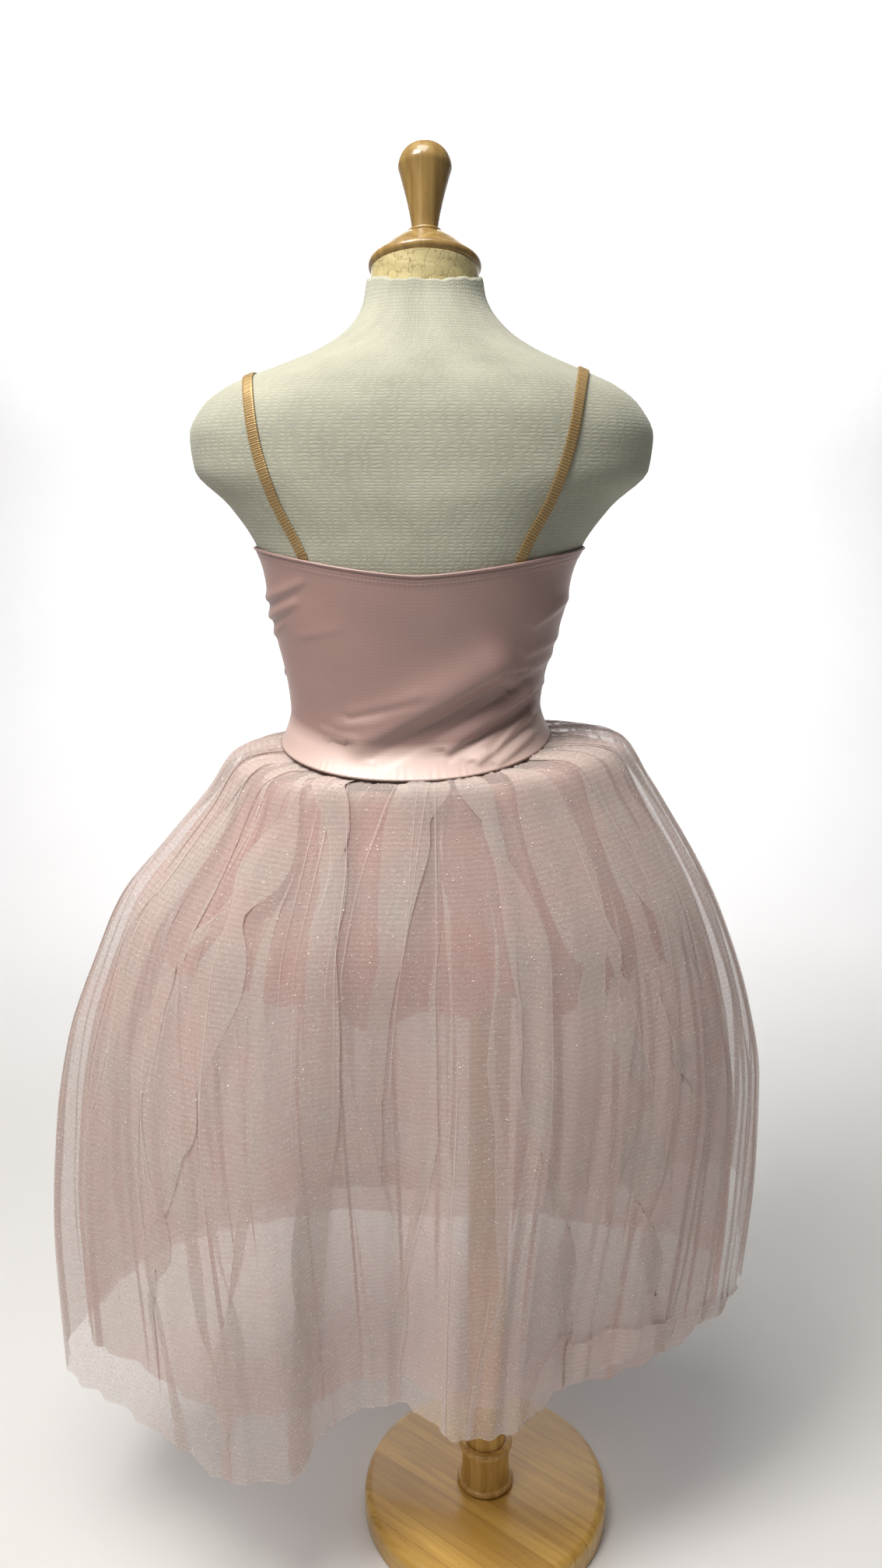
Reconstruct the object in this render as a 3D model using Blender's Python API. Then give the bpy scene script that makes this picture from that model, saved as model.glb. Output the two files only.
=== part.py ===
"""Ballet tutu on a dress form.

A camisole bodice with two elastic straps and three gathered tulle skirts, worn by a limbless dress
form on a wooden stand. Metres, +Z up. The origin is in the middle of the stand base's underside,
the tutu's front is toward -Y and its wearer's left is toward +X.

Directions round the body are called turns: 0 is the wearer's left side, a quarter turn is the
middle of the back, half a turn is the right side and three quarters is the middle of the front.
"""

import math
from collections import namedtuple

import bmesh
import bpy
import numpy as np

GAP = 0.0003  # left between pieces that touch
FULL_TURN = 2 * math.pi

# Stand
BASE_RADIUS = 0.125
BASE_THICKNESS = 0.028
BASE_TOP_ROUND = 0.009
BASE_FOOT_ROUND = 0.002
POLE_RADIUS = 0.0195
SOCKET_RADIUS = 0.0255
SOCKET_HEIGHT = 0.050
SOCKET_BEAD = 0.0035  # radius of the half-round beads at its foot and its lip

# Dress form
FORM_AXIS_X = 0.070  # the form sits to the left of its pole
FORM_FLOOR = 0.600  # height of its flat underside
SECTION_POWER = 2.3  # of the super-ellipse that each level is
FORM_SIDES = 28
CLOTHED_FROM, CLOTHED_TO = 0.800, 1.045  # the stretch that needs closer rings
CLOTHED_RINGS = 18

FormLevel = namedtuple("FormLevel", "height half_width half_depth lean_x centre_y")
FORM_LEVELS = (
    FormLevel(FORM_FLOOR, 0.128, 0.090, -0.001, 0.003),
    FormLevel(0.650, 0.135, 0.092, -0.001, 0.003),
    FormLevel(0.700, 0.133, 0.092, -0.001, 0.002),
    FormLevel(0.745, 0.123, 0.089, -0.001, 0.001),
    FormLevel(0.785, 0.112, 0.085, -0.002, 0.000),
    FormLevel(0.817, 0.1070, 0.0825, -0.002, 0.000),
    FormLevel(0.840, 0.1062, 0.0820, -0.002, -0.001),
    FormLevel(0.870, 0.1095, 0.0850, -0.002, -0.002),
    FormLevel(0.900, 0.1165, 0.0890, -0.003, -0.003),
    FormLevel(0.929, 0.1245, 0.0940, -0.004, -0.005),
    FormLevel(0.957, 0.1285, 0.0980, -0.005, -0.006),
    FormLevel(0.981, 0.1375, 0.1000, -0.006, -0.006),
    FormLevel(1.013, 0.1598, 0.1000, -0.007, -0.005),
    FormLevel(1.042, 0.1885, 0.0970, -0.008, -0.004),
    FormLevel(1.068, 0.1910, 0.0930, -0.008, -0.002),
    FormLevel(1.092, 0.1785, 0.0870, -0.008, 0.000),
    FormLevel(1.107, 0.1585, 0.0810, -0.009, 0.000),
    FormLevel(1.119, 0.1290, 0.0740, -0.011, 0.000),
    FormLevel(1.135, 0.0895, 0.0660, -0.013, -0.001),
    FormLevel(1.149, 0.0675, 0.0590, -0.013, -0.002),
    FormLevel(1.166, 0.0532, 0.0520, -0.012, -0.003),
    FormLevel(1.179, 0.0485, 0.0480, -0.011, -0.004),
    FormLevel(1.192, 0.0460, 0.0460, -0.011, -0.005),
)

# Neck
NECK_X = FORM_AXIS_X + FORM_LEVELS[-1].lean_x
NECK_Y = FORM_LEVELS[-1].centre_y
COVER_EDGE_SIDE = 1.190  # height of the cover's edge round the neck
COVER_EDGE_BACK = 1.183
COVER_EDGE_FRONT = 1.176
NECK_BLOCK_RADIUS = 0.0440
NECK_BLOCK_SEAT = 1.165  # the block stands in a round well, whose wall is the cover's edge
NECK_TILT = math.radians(13)  # the cap leans forward
CAP_HEIGHT = 1.1955  # of the cap's underside, at its middle
CAP_RADIUS = 0.0458
CAP_RIM = 0.009
CAP_DOME_TOP = 0.029
CAP_DOME_TOP_RADIUS = 0.0135
CAP_DOME_SWELL = 0.62  # under 1, so that the dome swells out
CAP_BEAD = 0.0018  # radius of the half-round bead under the finial
FINIAL_NECK_RADIUS = 0.0105
FINIAL_RADIUS = 0.0220
FINIAL_WIDEST = 0.084  # above the cap's underside
FINIAL_TOP = 0.103
FINIAL_FLARE = 1.35  # over 1, so that the stem stays slim near its foot
FINIAL_CROWN_FULLNESS = 0.8

# Bodice
BODICE_CLEARANCE = 0.0007
BODICE_CLOTH = 0.0012
HEM_BAND_WIDTH = 0.0085  # turned hem along the top edge
HEM_BAND_RISE = 0.0007
BODICE_COLUMNS = 31
BACK_ROWS, FRONT_ROWS = 12, 11
BACK_TOP_MIDDLE = 0.961
TOP_AT_SIDE = 0.981
BACK_TOP_POWER = 1.3
SEAM_AT_SIDE = 0.8205  # height of the waist seam
SEAM_BACK_DIP = 0.0200
SEAM_FRONT_DIP = 0.006
SEAM_SIDE_TILT = 0.003  # the right side sits higher than the left

NecklinePoint = namedtuple("NecklinePoint", "degrees_from_side height")
FRONT_NECKLINE = (
    NecklinePoint(0, TOP_AT_SIDE),
    NecklinePoint(20, 0.985),
    NecklinePoint(40, 0.998),
    NecklinePoint(56, 1.021),
    NecklinePoint(64, 1.036),
    NecklinePoint(68, 1.036),
    NecklinePoint(78, 1.018),
    NecklinePoint(90, 1.010),
)

# A drag line in the bodice's cloth, given from the form's middle line. It fades toward its end, and
# the inside of the cloth follows it in part.
CREASE_FADE = 0.6
CREASE_INSIDE = 0.5
Crease = namedtuple("Crease", "from_x from_height to_x to_height width rise")
BACK_CREASES = (
    Crease(-0.106, 0.868, 0.012, 0.827, 0.0080, 0.0034),
    Crease(-0.108, 0.850, -0.030, 0.823, 0.0070, 0.0026),
    Crease(-0.020, 0.868, 0.062, 0.838, 0.0080, 0.0018),
    Crease(-0.112, 0.890, -0.062, 0.868, 0.0070, 0.0018),
    Crease(0.124, 0.948, 0.088, 0.926, 0.0065, 0.0026),
    Crease(0.120, 0.930, 0.092, 0.914, 0.0060, 0.0020),
    Crease(-0.124, 0.936, -0.098, 0.920, 0.0060, 0.0020),
)
FRONT_CREASES = (
    Crease(-0.104, 0.862, -0.010, 0.832, 0.0065, 0.0018),
    Crease(0.106, 0.872, 0.020, 0.836, 0.0065, 0.0020),
    Crease(0.118, 0.945, 0.080, 0.930, 0.0060, 0.0015),
    Crease(-0.118, 0.940, -0.078, 0.928, 0.0060, 0.0015),
)

# Straps
STRAP_WIDTH = 0.009
STRAP_CLOTH = 0.0012
STRAP_CLEARANCE = 0.0009
STRAP_STEPS = 22
STRAP_END_SLANT = 0.0022  # how far the cut end's lower corner hangs below its middle
STRAP_PIVOT_HEIGHT = 1.000  # sweeps are measured round this level, from the back up and over
StrapPoint = namedtuple("StrapPoint", "sweep_degrees from_middle lean_x")
STRAP_ROUTE = (
    StrapPoint(-20, 0.085, -0.001),
    StrapPoint(-12, 0.090, -0.001),
    StrapPoint(16, 0.109, -0.002),
    StrapPoint(49, 0.125, -0.003),
    StrapPoint(88, 0.134, -0.005),
    StrapPoint(125, 0.116, -0.007),
    StrapPoint(165, 0.081, -0.008),
)

# Skirts
SKIRT_CLOTH = 0.0016
SKIRT_CLEARANCE = 0.0005
FOLD_UNEVENNESS = 0.40  # the gathers vary in depth by this share
FOLD_DEPTH_STEP = 2.4  # and this far, in radians, from each fold to the next
GATHER_DRIFTS = ((5, 0.0050), (11, 0.0036))  # waves round the waist, and share of it that each moves them
FOLD_START = 0.35  # how far down a skirt its large folds begin to show

# A skirt's fall from the waist, as shares of its whole drop and of its whole reach on each side.
# The right side puffs up above the seam first, by a height in metres.
BellPoint = namedtuple("BellPoint", "run down out_left out_right puff_right")
BELL = (
    BellPoint(0.00, 0.000, 0.000, 0.000, 0.000),
    BellPoint(0.05, 0.004, 0.110, 0.160, 0.004),
    BellPoint(0.12, 0.018, 0.210, 0.330, 0.006),
    BellPoint(0.21, 0.075, 0.315, 0.445, 0.002),
    BellPoint(0.30, 0.150, 0.475, 0.570, 0.000),
    BellPoint(0.40, 0.240, 0.660, 0.700, 0.000),
    BellPoint(0.50, 0.330, 0.765, 0.800, 0.000),
    BellPoint(0.60, 0.460, 0.888, 0.910, 0.000),
    BellPoint(0.72, 0.610, 0.960, 0.985, 0.000),
    BellPoint(0.86, 0.800, 1.000, 1.000, 0.000),
    BellPoint(1.00, 1.000, 0.995, 0.975, 0.000),
)

# The outer hem's large folds, measured from the form's axis.
HemPoint = namedtuple("HemPoint", "degrees x y height")
OUTER_HEM = (
    HemPoint(0, 0.347, 0.012, 0.205),
    HemPoint(13, 0.332, 0.054, 0.203),
    HemPoint(27, 0.278, 0.088, 0.198),
    HemPoint(40, 0.222, 0.132, 0.202),
    HemPoint(52, 0.160, 0.158, 0.180),
    HemPoint(64, 0.112, 0.154, 0.178),
    HemPoint(76, 0.062, 0.118, 0.214),
    HemPoint(87, 0.012, 0.112, 0.220),
    HemPoint(100, -0.038, 0.154, 0.220),
    HemPoint(112, -0.084, 0.150, 0.221),
    HemPoint(125, -0.134, 0.126, 0.245),
    HemPoint(140, -0.196, 0.108, 0.260),
    HemPoint(156, -0.256, 0.072, 0.257),
    HemPoint(170, -0.308, 0.024, 0.258),
    HemPoint(184, -0.334, -0.028, 0.268),
    HemPoint(198, -0.342, -0.092, 0.330),
    HemPoint(214, -0.286, -0.142, 0.305),
    HemPoint(231, -0.206, -0.160, 0.262),
    HemPoint(249, -0.118, -0.186, 0.248),
    HemPoint(267, -0.020, -0.176, 0.250),
    HemPoint(286, 0.080, -0.190, 0.244),
    HemPoint(304, 0.170, -0.168, 0.236),
    HemPoint(322, 0.252, -0.136, 0.226),
    HemPoint(340, 0.318, -0.078, 0.216),
)

# Each skirt hangs inside the one before it.
Skirt = namedtuple(
    "Skirt",
    "name sewn_below left_reach right_reach back_reach front_reach hem_height folds points_per_fold "
    "waist_gather hem_gather rings fold_share",
)
OUTER_SKIRT = Skirt(
    "outer_skirt", 0.000, 0.348, 0.330, 0.160, 0.186, None, 44, 4, 0.0015, 0.0070,
    (0.0, 0.05, 0.12, 0.23, 0.37, 0.54, 0.75, 1.0), 1.0,
)
INNER_SKIRT = Skirt(
    "inner_skirt", 0.009, 0.324, 0.306, 0.137, 0.163, 0.232, 36, 3, 0.0014, 0.0060,
    (0.0, 0.08, 0.22, 0.43, 0.70, 1.0), 0.95,
)
UNDERSKIRT = Skirt(
    "underskirt", 0.018, 0.272, 0.260, 0.117, 0.141, 0.205, 28, 3, 0.0014, 0.0060,
    (0.0, 0.10, 0.26, 0.48), 0.0,
)

# Sheen and colour of each material: base colour, roughness, metallic
SATIN_PINK = ((0.80, 0.55, 0.56, 1), 0.50, 0.0)
GOLD_ELASTIC = ((0.46, 0.32, 0.13, 1), 0.45, 0.3)
GLITTER_TULLE = ((0.66, 0.54, 0.53, 1), 0.60, 0.0)
PLAIN_TULLE = ((0.70, 0.52, 0.53, 1), 0.70, 0.0)
PINK_TULLE = ((0.78, 0.46, 0.48, 1), 0.70, 0.0)
KNIT_COVER = ((0.60, 0.61, 0.60, 1), 0.95, 0.0)
CREAM_PAINT = ((0.62, 0.54, 0.38, 1), 0.50, 0.0)
VARNISHED_WOOD = ((0.47, 0.25, 0.08, 1), 0.22, 0.0)


def smooth_through(xs, ys, at):
    """Values of a curve without overshoot through the points (xs, ys), at each place in at."""
    xs, ys, at = (np.asarray(values, float) for values in (xs, ys, at))
    steps = np.diff(xs)
    slopes = np.diff(ys) / steps
    tangents = np.empty_like(ys)
    tangents[0], tangents[-1] = slopes[0], slopes[-1]
    before, after = slopes[:-1], slopes[1:]
    same_way = before * after > 0
    safe = np.where(same_way, before + after, 1.0)
    tangents[1:-1] = np.where(same_way, 2 * before * after / safe, 0.0)
    place = np.clip(np.searchsorted(xs, at, side="right") - 1, 0, len(steps) - 1)
    width = steps[place]
    t = np.clip((at - xs[place]) / width, 0.0, 1.0)
    rise = (3 - 2 * t) * t * t
    return (
        ys[place] * (1 - rise)
        + ys[place + 1] * rise
        + width * tangents[place] * t * (1 - t) ** 2
        - width * tangents[place + 1] * t * t * (1 - t)
    )


def column(table, name):
    return np.array([getattr(row, name) for row in table], float)


def signed_power(value, power):
    return np.sign(value) * np.abs(value) ** power


# ---------------------------------------------------------------- the dress form's shape


def form_level(height):
    """Half width, half depth and the middle's x and y of the form at a height."""
    heights = column(FORM_LEVELS, "height")
    half_width, half_depth, lean_x, centre_y = (
        smooth_through(heights, column(FORM_LEVELS, name), height)
        for name in ("half_width", "half_depth", "lean_x", "centre_y")
    )
    return half_width, half_depth, FORM_AXIS_X + lean_x, centre_y


def form_share(x, y, height):
    """A point's place across and along the form's section, each -1 to 1 inside the form."""
    half_width, half_depth, centre_x, centre_y = form_level(height)
    return (x - centre_x) / half_width, (y - centre_y) / half_depth


def form_reach(x, y, height):
    """Under 1 inside the form and over 1 outside it."""
    across, along = form_share(x, y, height)
    return np.abs(across) ** SECTION_POWER + np.abs(along) ** SECTION_POWER


def form_turn(x, y, height):
    """The turn at which a point of the form's surface lies."""
    across, along = form_share(x, y, height)
    bend = SECTION_POWER / 2
    return np.arctan2(signed_power(along, bend), signed_power(across, bend))


def form_points(turn, height, out=0.0):
    """Points on the form's surface at these turns and heights, moved out by this distance."""
    turn, height = np.broadcast_arrays(np.asarray(turn, float), np.asarray(height, float))
    half_width, half_depth, centre_x, centre_y = form_level(height)
    bend = 2 / SECTION_POWER
    points = np.stack(
        [
            centre_x + half_width * signed_power(np.cos(turn), bend),
            centre_y + half_depth * signed_power(np.sin(turn), bend),
            height,
        ],
        axis=-1,
    )
    return points + form_normals(points) * np.asarray(out, float)[..., None]


def form_normals(points):
    nudge = 0.0005
    x, y, z = points[..., 0], points[..., 1], points[..., 2]
    gradient = np.stack(
        [
            form_reach(x + nudge, y, z) - form_reach(x - nudge, y, z),
            form_reach(x, y + nudge, z) - form_reach(x, y - nudge, z),
            form_reach(x, y, z + nudge) - form_reach(x, y, z - nudge),
        ],
        axis=-1,
    )
    return gradient / np.linalg.norm(gradient, axis=-1, keepdims=True)


def cover_edge(turn):
    """Height of the cover's edge round the neck: it dips behind and in front."""
    middle = np.where(np.sin(turn) > 0, COVER_EDGE_BACK, COVER_EDGE_FRONT)
    return middle + (COVER_EDGE_SIDE - middle) * np.cos(turn) ** 2


# ---------------------------------------------------------------- meshes and materials


def material(name, finish):
    colour, roughness, metallic = finish
    found = bpy.data.materials.get(name)
    if found:
        return found
    made = bpy.data.materials.new(name)
    made.use_nodes = True
    shader = made.node_tree.nodes["Principled BSDF"]
    shader.inputs["Base Color"].default_value = colour
    shader.inputs["Roughness"].default_value = roughness
    shader.inputs["Metallic"].default_value = metallic
    made.diffuse_color = colour
    return made


def add_object(name, bm, finish_name, finish, sharp_degrees=40):
    bmesh.ops.recalc_face_normals(bm, faces=bm.faces)
    mesh = bpy.data.meshes.new(name)
    bm.to_mesh(mesh)
    bm.free()
    mesh.shade_smooth()
    mesh.set_sharp_from_angle(angle=math.radians(sharp_degrees))
    mesh.materials.append(material(finish_name, finish))
    made = bpy.data.objects.new(name, mesh)
    bpy.context.scene.collection.objects.link(made)
    return made


def add_grid(bm, points, wraps=False):
    """Vertices and faces of a grid of points, whose rows may close into rings."""
    rows = [[bm.verts.new(point) for point in row] for row in points]
    for lower, upper in zip(rows, rows[1:]):
        count = len(lower)
        for i in range(count if wraps else count - 1):
            j = (i + 1) % count
            bm.faces.new((lower[i], lower[j], upper[j], upper[i]))
    return rows


def wall_object(name, inner, outer, finish_name, finish, sharp_degrees=70):
    """A closed wall of cloth between two grids of points."""
    bm = bmesh.new()
    inside = add_grid(bm, inner)
    outside = add_grid(bm, outer)
    borders = (
        (inside[0], outside[0]),
        (inside[-1], outside[-1]),
        ([row[0] for row in inside], [row[0] for row in outside]),
        ([row[-1] for row in inside], [row[-1] for row in outside]),
    )
    for first, second in borders:
        for i in range(len(first) - 1):
            bm.faces.new((first[i], first[i + 1], second[i + 1], second[i]))
    return add_object(name, bm, finish_name, finish, sharp_degrees)


def ring_stack(name, rings, finish_name, finish):
    """A solid through rings of points, closed with a flat cap at each end."""
    bm = bmesh.new()
    rows = add_grid(bm, rings, wraps=True)
    bm.faces.new(rows[0])
    bm.faces.new(rows[-1])
    return add_object(name, bm, finish_name, finish)


def arc(centre_radius, centre_height, radius, start_degrees, end_degrees, steps):
    """Profile points (distance from the axis, height) along an arc."""
    return [
        (
            centre_radius + radius * math.cos(math.radians(angle)),
            centre_height + radius * math.sin(math.radians(angle)),
        )
        for angle in np.linspace(start_degrees, end_degrees, steps + 1)
    ]


def turned_object(name, profile, sides, finish_name, finish, closed=False):
    """A solid turned on the Z axis from a profile of (distance from the axis, height)."""
    bm = bmesh.new()
    points = [bm.verts.new((distance, 0, height)) for distance, height in profile]
    ends = list(zip(points, points[1:]))
    if closed:
        ends.append((points[-1], points[0]))
    edges = [bm.edges.new(pair) for pair in ends]
    bmesh.ops.spin(
        bm, geom=points + edges, axis=(0, 0, 1), cent=(0, 0, 0),
        angle=FULL_TURN, steps=sides, use_merge=True,
    )
    bmesh.ops.remove_doubles(bm, verts=bm.verts, dist=1e-6)
    return add_object(name, bm, finish_name, finish)


# ---------------------------------------------------------------- stand and dress form


def build_base():
    top_ring = BASE_RADIUS - BASE_TOP_ROUND
    foot_ring = BASE_RADIUS - BASE_FOOT_ROUND
    profile = [(0, 0)]
    profile += arc(foot_ring, BASE_FOOT_ROUND, BASE_FOOT_ROUND, -90, 0, 1)
    profile += arc(top_ring, BASE_THICKNESS - BASE_TOP_ROUND, BASE_TOP_ROUND, 0, 90, 3)
    profile += [(0, BASE_THICKNESS)]
    turned_object("stand_base", profile, 40, "base wood", VARNISHED_WOOD)


def build_socket():
    foot = BASE_THICKNESS + GAP
    lip = foot + SOCKET_HEIGHT
    bore = POLE_RADIUS + GAP
    profile = [(bore, foot)]
    profile += arc(SOCKET_RADIUS, foot + SOCKET_BEAD, SOCKET_BEAD, -90, 90, 3)
    profile += arc(SOCKET_RADIUS - 0.0015, lip - SOCKET_BEAD, SOCKET_BEAD, -70, 90, 3)
    profile += [(bore, lip)]
    turned_object("stand_socket", profile, 20, "turned wood", VARNISHED_WOOD, closed=True)


def build_pole():
    foot = BASE_THICKNESS + GAP
    top = FORM_FLOOR - GAP
    profile = [(0, foot), (POLE_RADIUS, foot), (POLE_RADIUS, top), (0, top)]
    turned_object("stand_pole", profile, 20, "turned wood", VARNISHED_WOOD)


def build_form():
    turns = np.linspace(0, FULL_TURN, FORM_SIDES, endpoint=False)
    heights = column(FORM_LEVELS, "height")[:-2]
    bare = heights[(heights < CLOTHED_FROM) | (heights > CLOTHED_TO)]
    heights = np.sort(np.concatenate([bare, np.linspace(CLOTHED_FROM, CLOTHED_TO, CLOTHED_RINGS)]))
    rings = [form_points(turns, height) for height in heights]
    rings.append(form_points(turns, cover_edge(turns)))
    well = NECK_BLOCK_RADIUS + GAP
    rings.append(neck_ring(turns, well, cover_edge(turns)))
    rings.append(neck_ring(turns, well, NECK_BLOCK_SEAT))
    ring_stack("dress_form", rings, "knit cover", KNIT_COVER)


def neck_ring(turns, radius, height):
    x = NECK_X + radius * np.cos(turns)
    y = NECK_Y + radius * np.sin(turns)
    return np.stack([x, y, np.broadcast_to(height, turns.shape)], axis=-1)


def build_neck_block():
    """A cylinder whose top is cut on the slant, to carry the cap."""
    turns = np.linspace(0, FULL_TURN, FORM_SIDES, endpoint=False)
    cut = CAP_HEIGHT - GAP / math.cos(NECK_TILT)
    slant = NECK_BLOCK_RADIUS * np.sin(turns) * math.tan(NECK_TILT)
    lower = neck_ring(turns, NECK_BLOCK_RADIUS, NECK_BLOCK_SEAT + GAP)
    upper = neck_ring(turns, NECK_BLOCK_RADIUS, cut + slant)
    ring_stack("neck_block", [lower, upper], "cream paint", CREAM_PAINT)


def build_neck_cap():
    """The leaning cap with its bead, and the finial that stands on it."""
    rim = CAP_RIM / 2
    dome_foot_radius = CAP_RADIUS - rim
    dome = [
        (CAP_DOME_TOP_RADIUS + (dome_foot_radius - CAP_DOME_TOP_RADIUS) * (1 - rise) ** CAP_DOME_SWELL,
         CAP_RIM + (CAP_DOME_TOP - CAP_RIM) * rise)
        for rise in np.linspace(0, 1, 5)
    ]
    profile = [(0, 0)] + arc(CAP_RADIUS - rim, rim, rim, -90, 60, 4) + dome
    profile += arc(CAP_DOME_TOP_RADIUS, CAP_DOME_TOP + CAP_BEAD, CAP_BEAD, -80, 90, 2)
    cap_top = profile[-1][1]
    profile += [(0, cap_top)]
    cap = turned_object("neck_cap", profile, 24, "turned wood", VARNISHED_WOOD)

    stem = [
        (FINIAL_NECK_RADIUS + (FINIAL_RADIUS - FINIAL_NECK_RADIUS) * rise**FINIAL_FLARE,
         cap_top + GAP + (FINIAL_WIDEST - cap_top - GAP) * rise)
        for rise in np.linspace(0, 1, 6)
    ]
    crown_height = FINIAL_TOP - FINIAL_WIDEST
    crown = [
        (FINIAL_RADIUS * math.cos(angle) ** FINIAL_CROWN_FULLNESS,
         FINIAL_WIDEST + crown_height * math.sin(angle))
        for angle in np.radians([18, 36, 54, 72])
    ]
    profile = [(0, cap_top + GAP)] + stem + crown + [(0, FINIAL_TOP)]
    finial = turned_object("neck_finial", profile, 20, "turned wood", VARNISHED_WOOD)
    for piece in (cap, finial):
        piece.location = (NECK_X, NECK_Y, CAP_HEIGHT)
        piece.rotation_euler = (NECK_TILT, 0, 0)


# ---------------------------------------------------------------- bodice and straps


def waist_seam(turn):
    """Height of the waist seam: it dips behind and in front."""
    behind = np.maximum(np.sin(turn), 0) ** 1.5
    in_front = np.maximum(-np.sin(turn), 0)
    side = SEAM_AT_SIDE - SEAM_SIDE_TILT * np.cos(turn)
    return side - SEAM_BACK_DIP * behind - SEAM_FRONT_DIP * in_front


def bodice_top(turn):
    """Height of the bodice's top edge."""
    from_middle = np.abs(np.cos(turn))
    behind = BACK_TOP_MIDDLE + (TOP_AT_SIDE - BACK_TOP_MIDDLE) * from_middle**BACK_TOP_POWER
    from_side = np.degrees(np.arcsin(np.abs(np.sin(turn))))
    ahead = smooth_through(
        column(FRONT_NECKLINE, "degrees_from_side"), column(FRONT_NECKLINE, "height"), from_side
    )
    return np.where(np.sin(turn) > 0, behind, ahead)


def crease_rise(points, creases):
    """How far each point lies on the drag lines, as a distance out from the panel."""
    rise = np.zeros(points.shape[:-1])
    place = np.stack([points[..., 0] - FORM_AXIS_X, points[..., 2]], axis=-1)
    for crease in creases:
        start = np.array([crease.from_x, crease.from_height])
        line = np.array([crease.to_x, crease.to_height]) - start
        along = np.clip((place - start) @ line / (line @ line), 0, 1)
        away = np.linalg.norm(place - start - along[..., None] * line, axis=-1)
        fade = 1 - CREASE_FADE * along
        rise += crease.rise * fade * np.exp(-((away / crease.width) ** 2))
    return rise


def build_bodice_panel(name, first_turn, body_rows, creases):
    turns = np.linspace(first_turn, first_turn + math.pi, BODICE_COLUMNS)
    bottom, top = waist_seam(turns), bodice_top(turns)
    band_foot = top - HEM_BAND_WIDTH
    shares = np.linspace(0, 1, body_rows)[:, None]
    heights = bottom + (band_foot - bottom) * shares
    heights = np.vstack([heights, band_foot + HEM_BAND_RISE, (band_foot + top) / 2, top])
    band = np.zeros(len(heights))
    band[-3:] = HEM_BAND_RISE
    rise = crease_rise(form_points(turns, heights), creases)
    inner = form_points(turns, heights, BODICE_CLEARANCE + CREASE_INSIDE * rise)
    outer = form_points(turns, heights, BODICE_CLEARANCE + BODICE_CLOTH + rise + band[:, None])
    part_at_sides(inner, outer, toward_back=1 if first_turn == 0 else -1)
    wall_object(name, inner, outer, "pink satin", SATIN_PINK)


def part_at_sides(inner, outer, toward_back):
    """Moves a panel's side edges back from the side seams by half a gap."""
    for grid in (inner, outer):
        grid[:, (0, -1), 1] += toward_back * GAP / 2


def on_form(x, sweep):
    """The point of the form's surface in the plane at x, up from the strap's pivot at this sweep."""
    near, far = 0.0, 0.25
    for _ in range(40):
        middle = (near + far) / 2
        y = middle * math.cos(sweep)
        z = STRAP_PIVOT_HEIGHT + middle * math.sin(sweep)
        if z < FORM_LEVELS[-1].height and form_reach(x, y, z) < 1:
            near = middle
        else:
            far = middle
    return np.array([x, near * math.cos(sweep), STRAP_PIVOT_HEIGHT + near * math.sin(sweep)])


def strap_centre(side, sweep_degrees):
    sweeps = column(STRAP_ROUTE, "sweep_degrees")
    from_middle = float(smooth_through(sweeps, column(STRAP_ROUTE, "from_middle"), sweep_degrees))
    lean_x = float(smooth_through(sweeps, column(STRAP_ROUTE, "lean_x"), sweep_degrees))
    return on_form(FORM_AXIS_X + lean_x + side * from_middle, math.radians(sweep_degrees))


def clear_of_bodice(side, sweep_degrees):
    """Whether a strap's end at this sweep lies above the bodice's top edge, across its whole width."""
    x, y, height = strap_centre(side, sweep_degrees)
    edge = x + STRAP_WIDTH / 2 * np.array([-1, 0, 1])
    return bool(np.all(height - STRAP_END_SLANT > bodice_top(form_turn(edge, y, height))))


def build_strap(name, side):
    first = next(s for s in np.arange(-20, 20, 0.25) if clear_of_bodice(side, s))
    last = next(s for s in np.arange(165, 120, -0.25) if clear_of_bodice(side, s))
    centres = np.array([strap_centre(side, s) for s in np.linspace(first, last, STRAP_STEPS + 1)])
    normals = form_normals(centres)
    along = np.gradient(centres, axis=0)
    across = np.cross(along, normals)
    across *= STRAP_WIDTH / 2 / np.linalg.norm(across, axis=1, keepdims=True)
    inner = np.stack(
        [centres + across * share + normals * STRAP_CLEARANCE for share in (-1, 0, 1)], axis=1
    )
    outer = inner + normals[:, None] * STRAP_CLOTH
    wall_object(name, inner, outer, "gold elastic", GOLD_ELASTIC)


# ---------------------------------------------------------------- skirts


def closed_curve(rows, name, turn):
    """A smooth closed curve through a table's column, by its column of degrees."""
    places = np.radians(column(rows, "degrees"))
    values = column(rows, name)
    places = np.concatenate([places - FULL_TURN, places, places + FULL_TURN])
    return smooth_through(places, np.tile(values, 3), turn)


def plain_hem(skirt, turn):
    across = np.where(np.cos(turn) > 0, skirt.left_reach, skirt.right_reach)
    along = np.where(np.sin(turn) > 0, skirt.back_reach, skirt.front_reach)
    return np.stack([across * np.cos(turn), along * np.sin(turn)], axis=-1)


def bell(name, run):
    return smooth_through(column(BELL, "run"), column(BELL, name), run)


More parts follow.
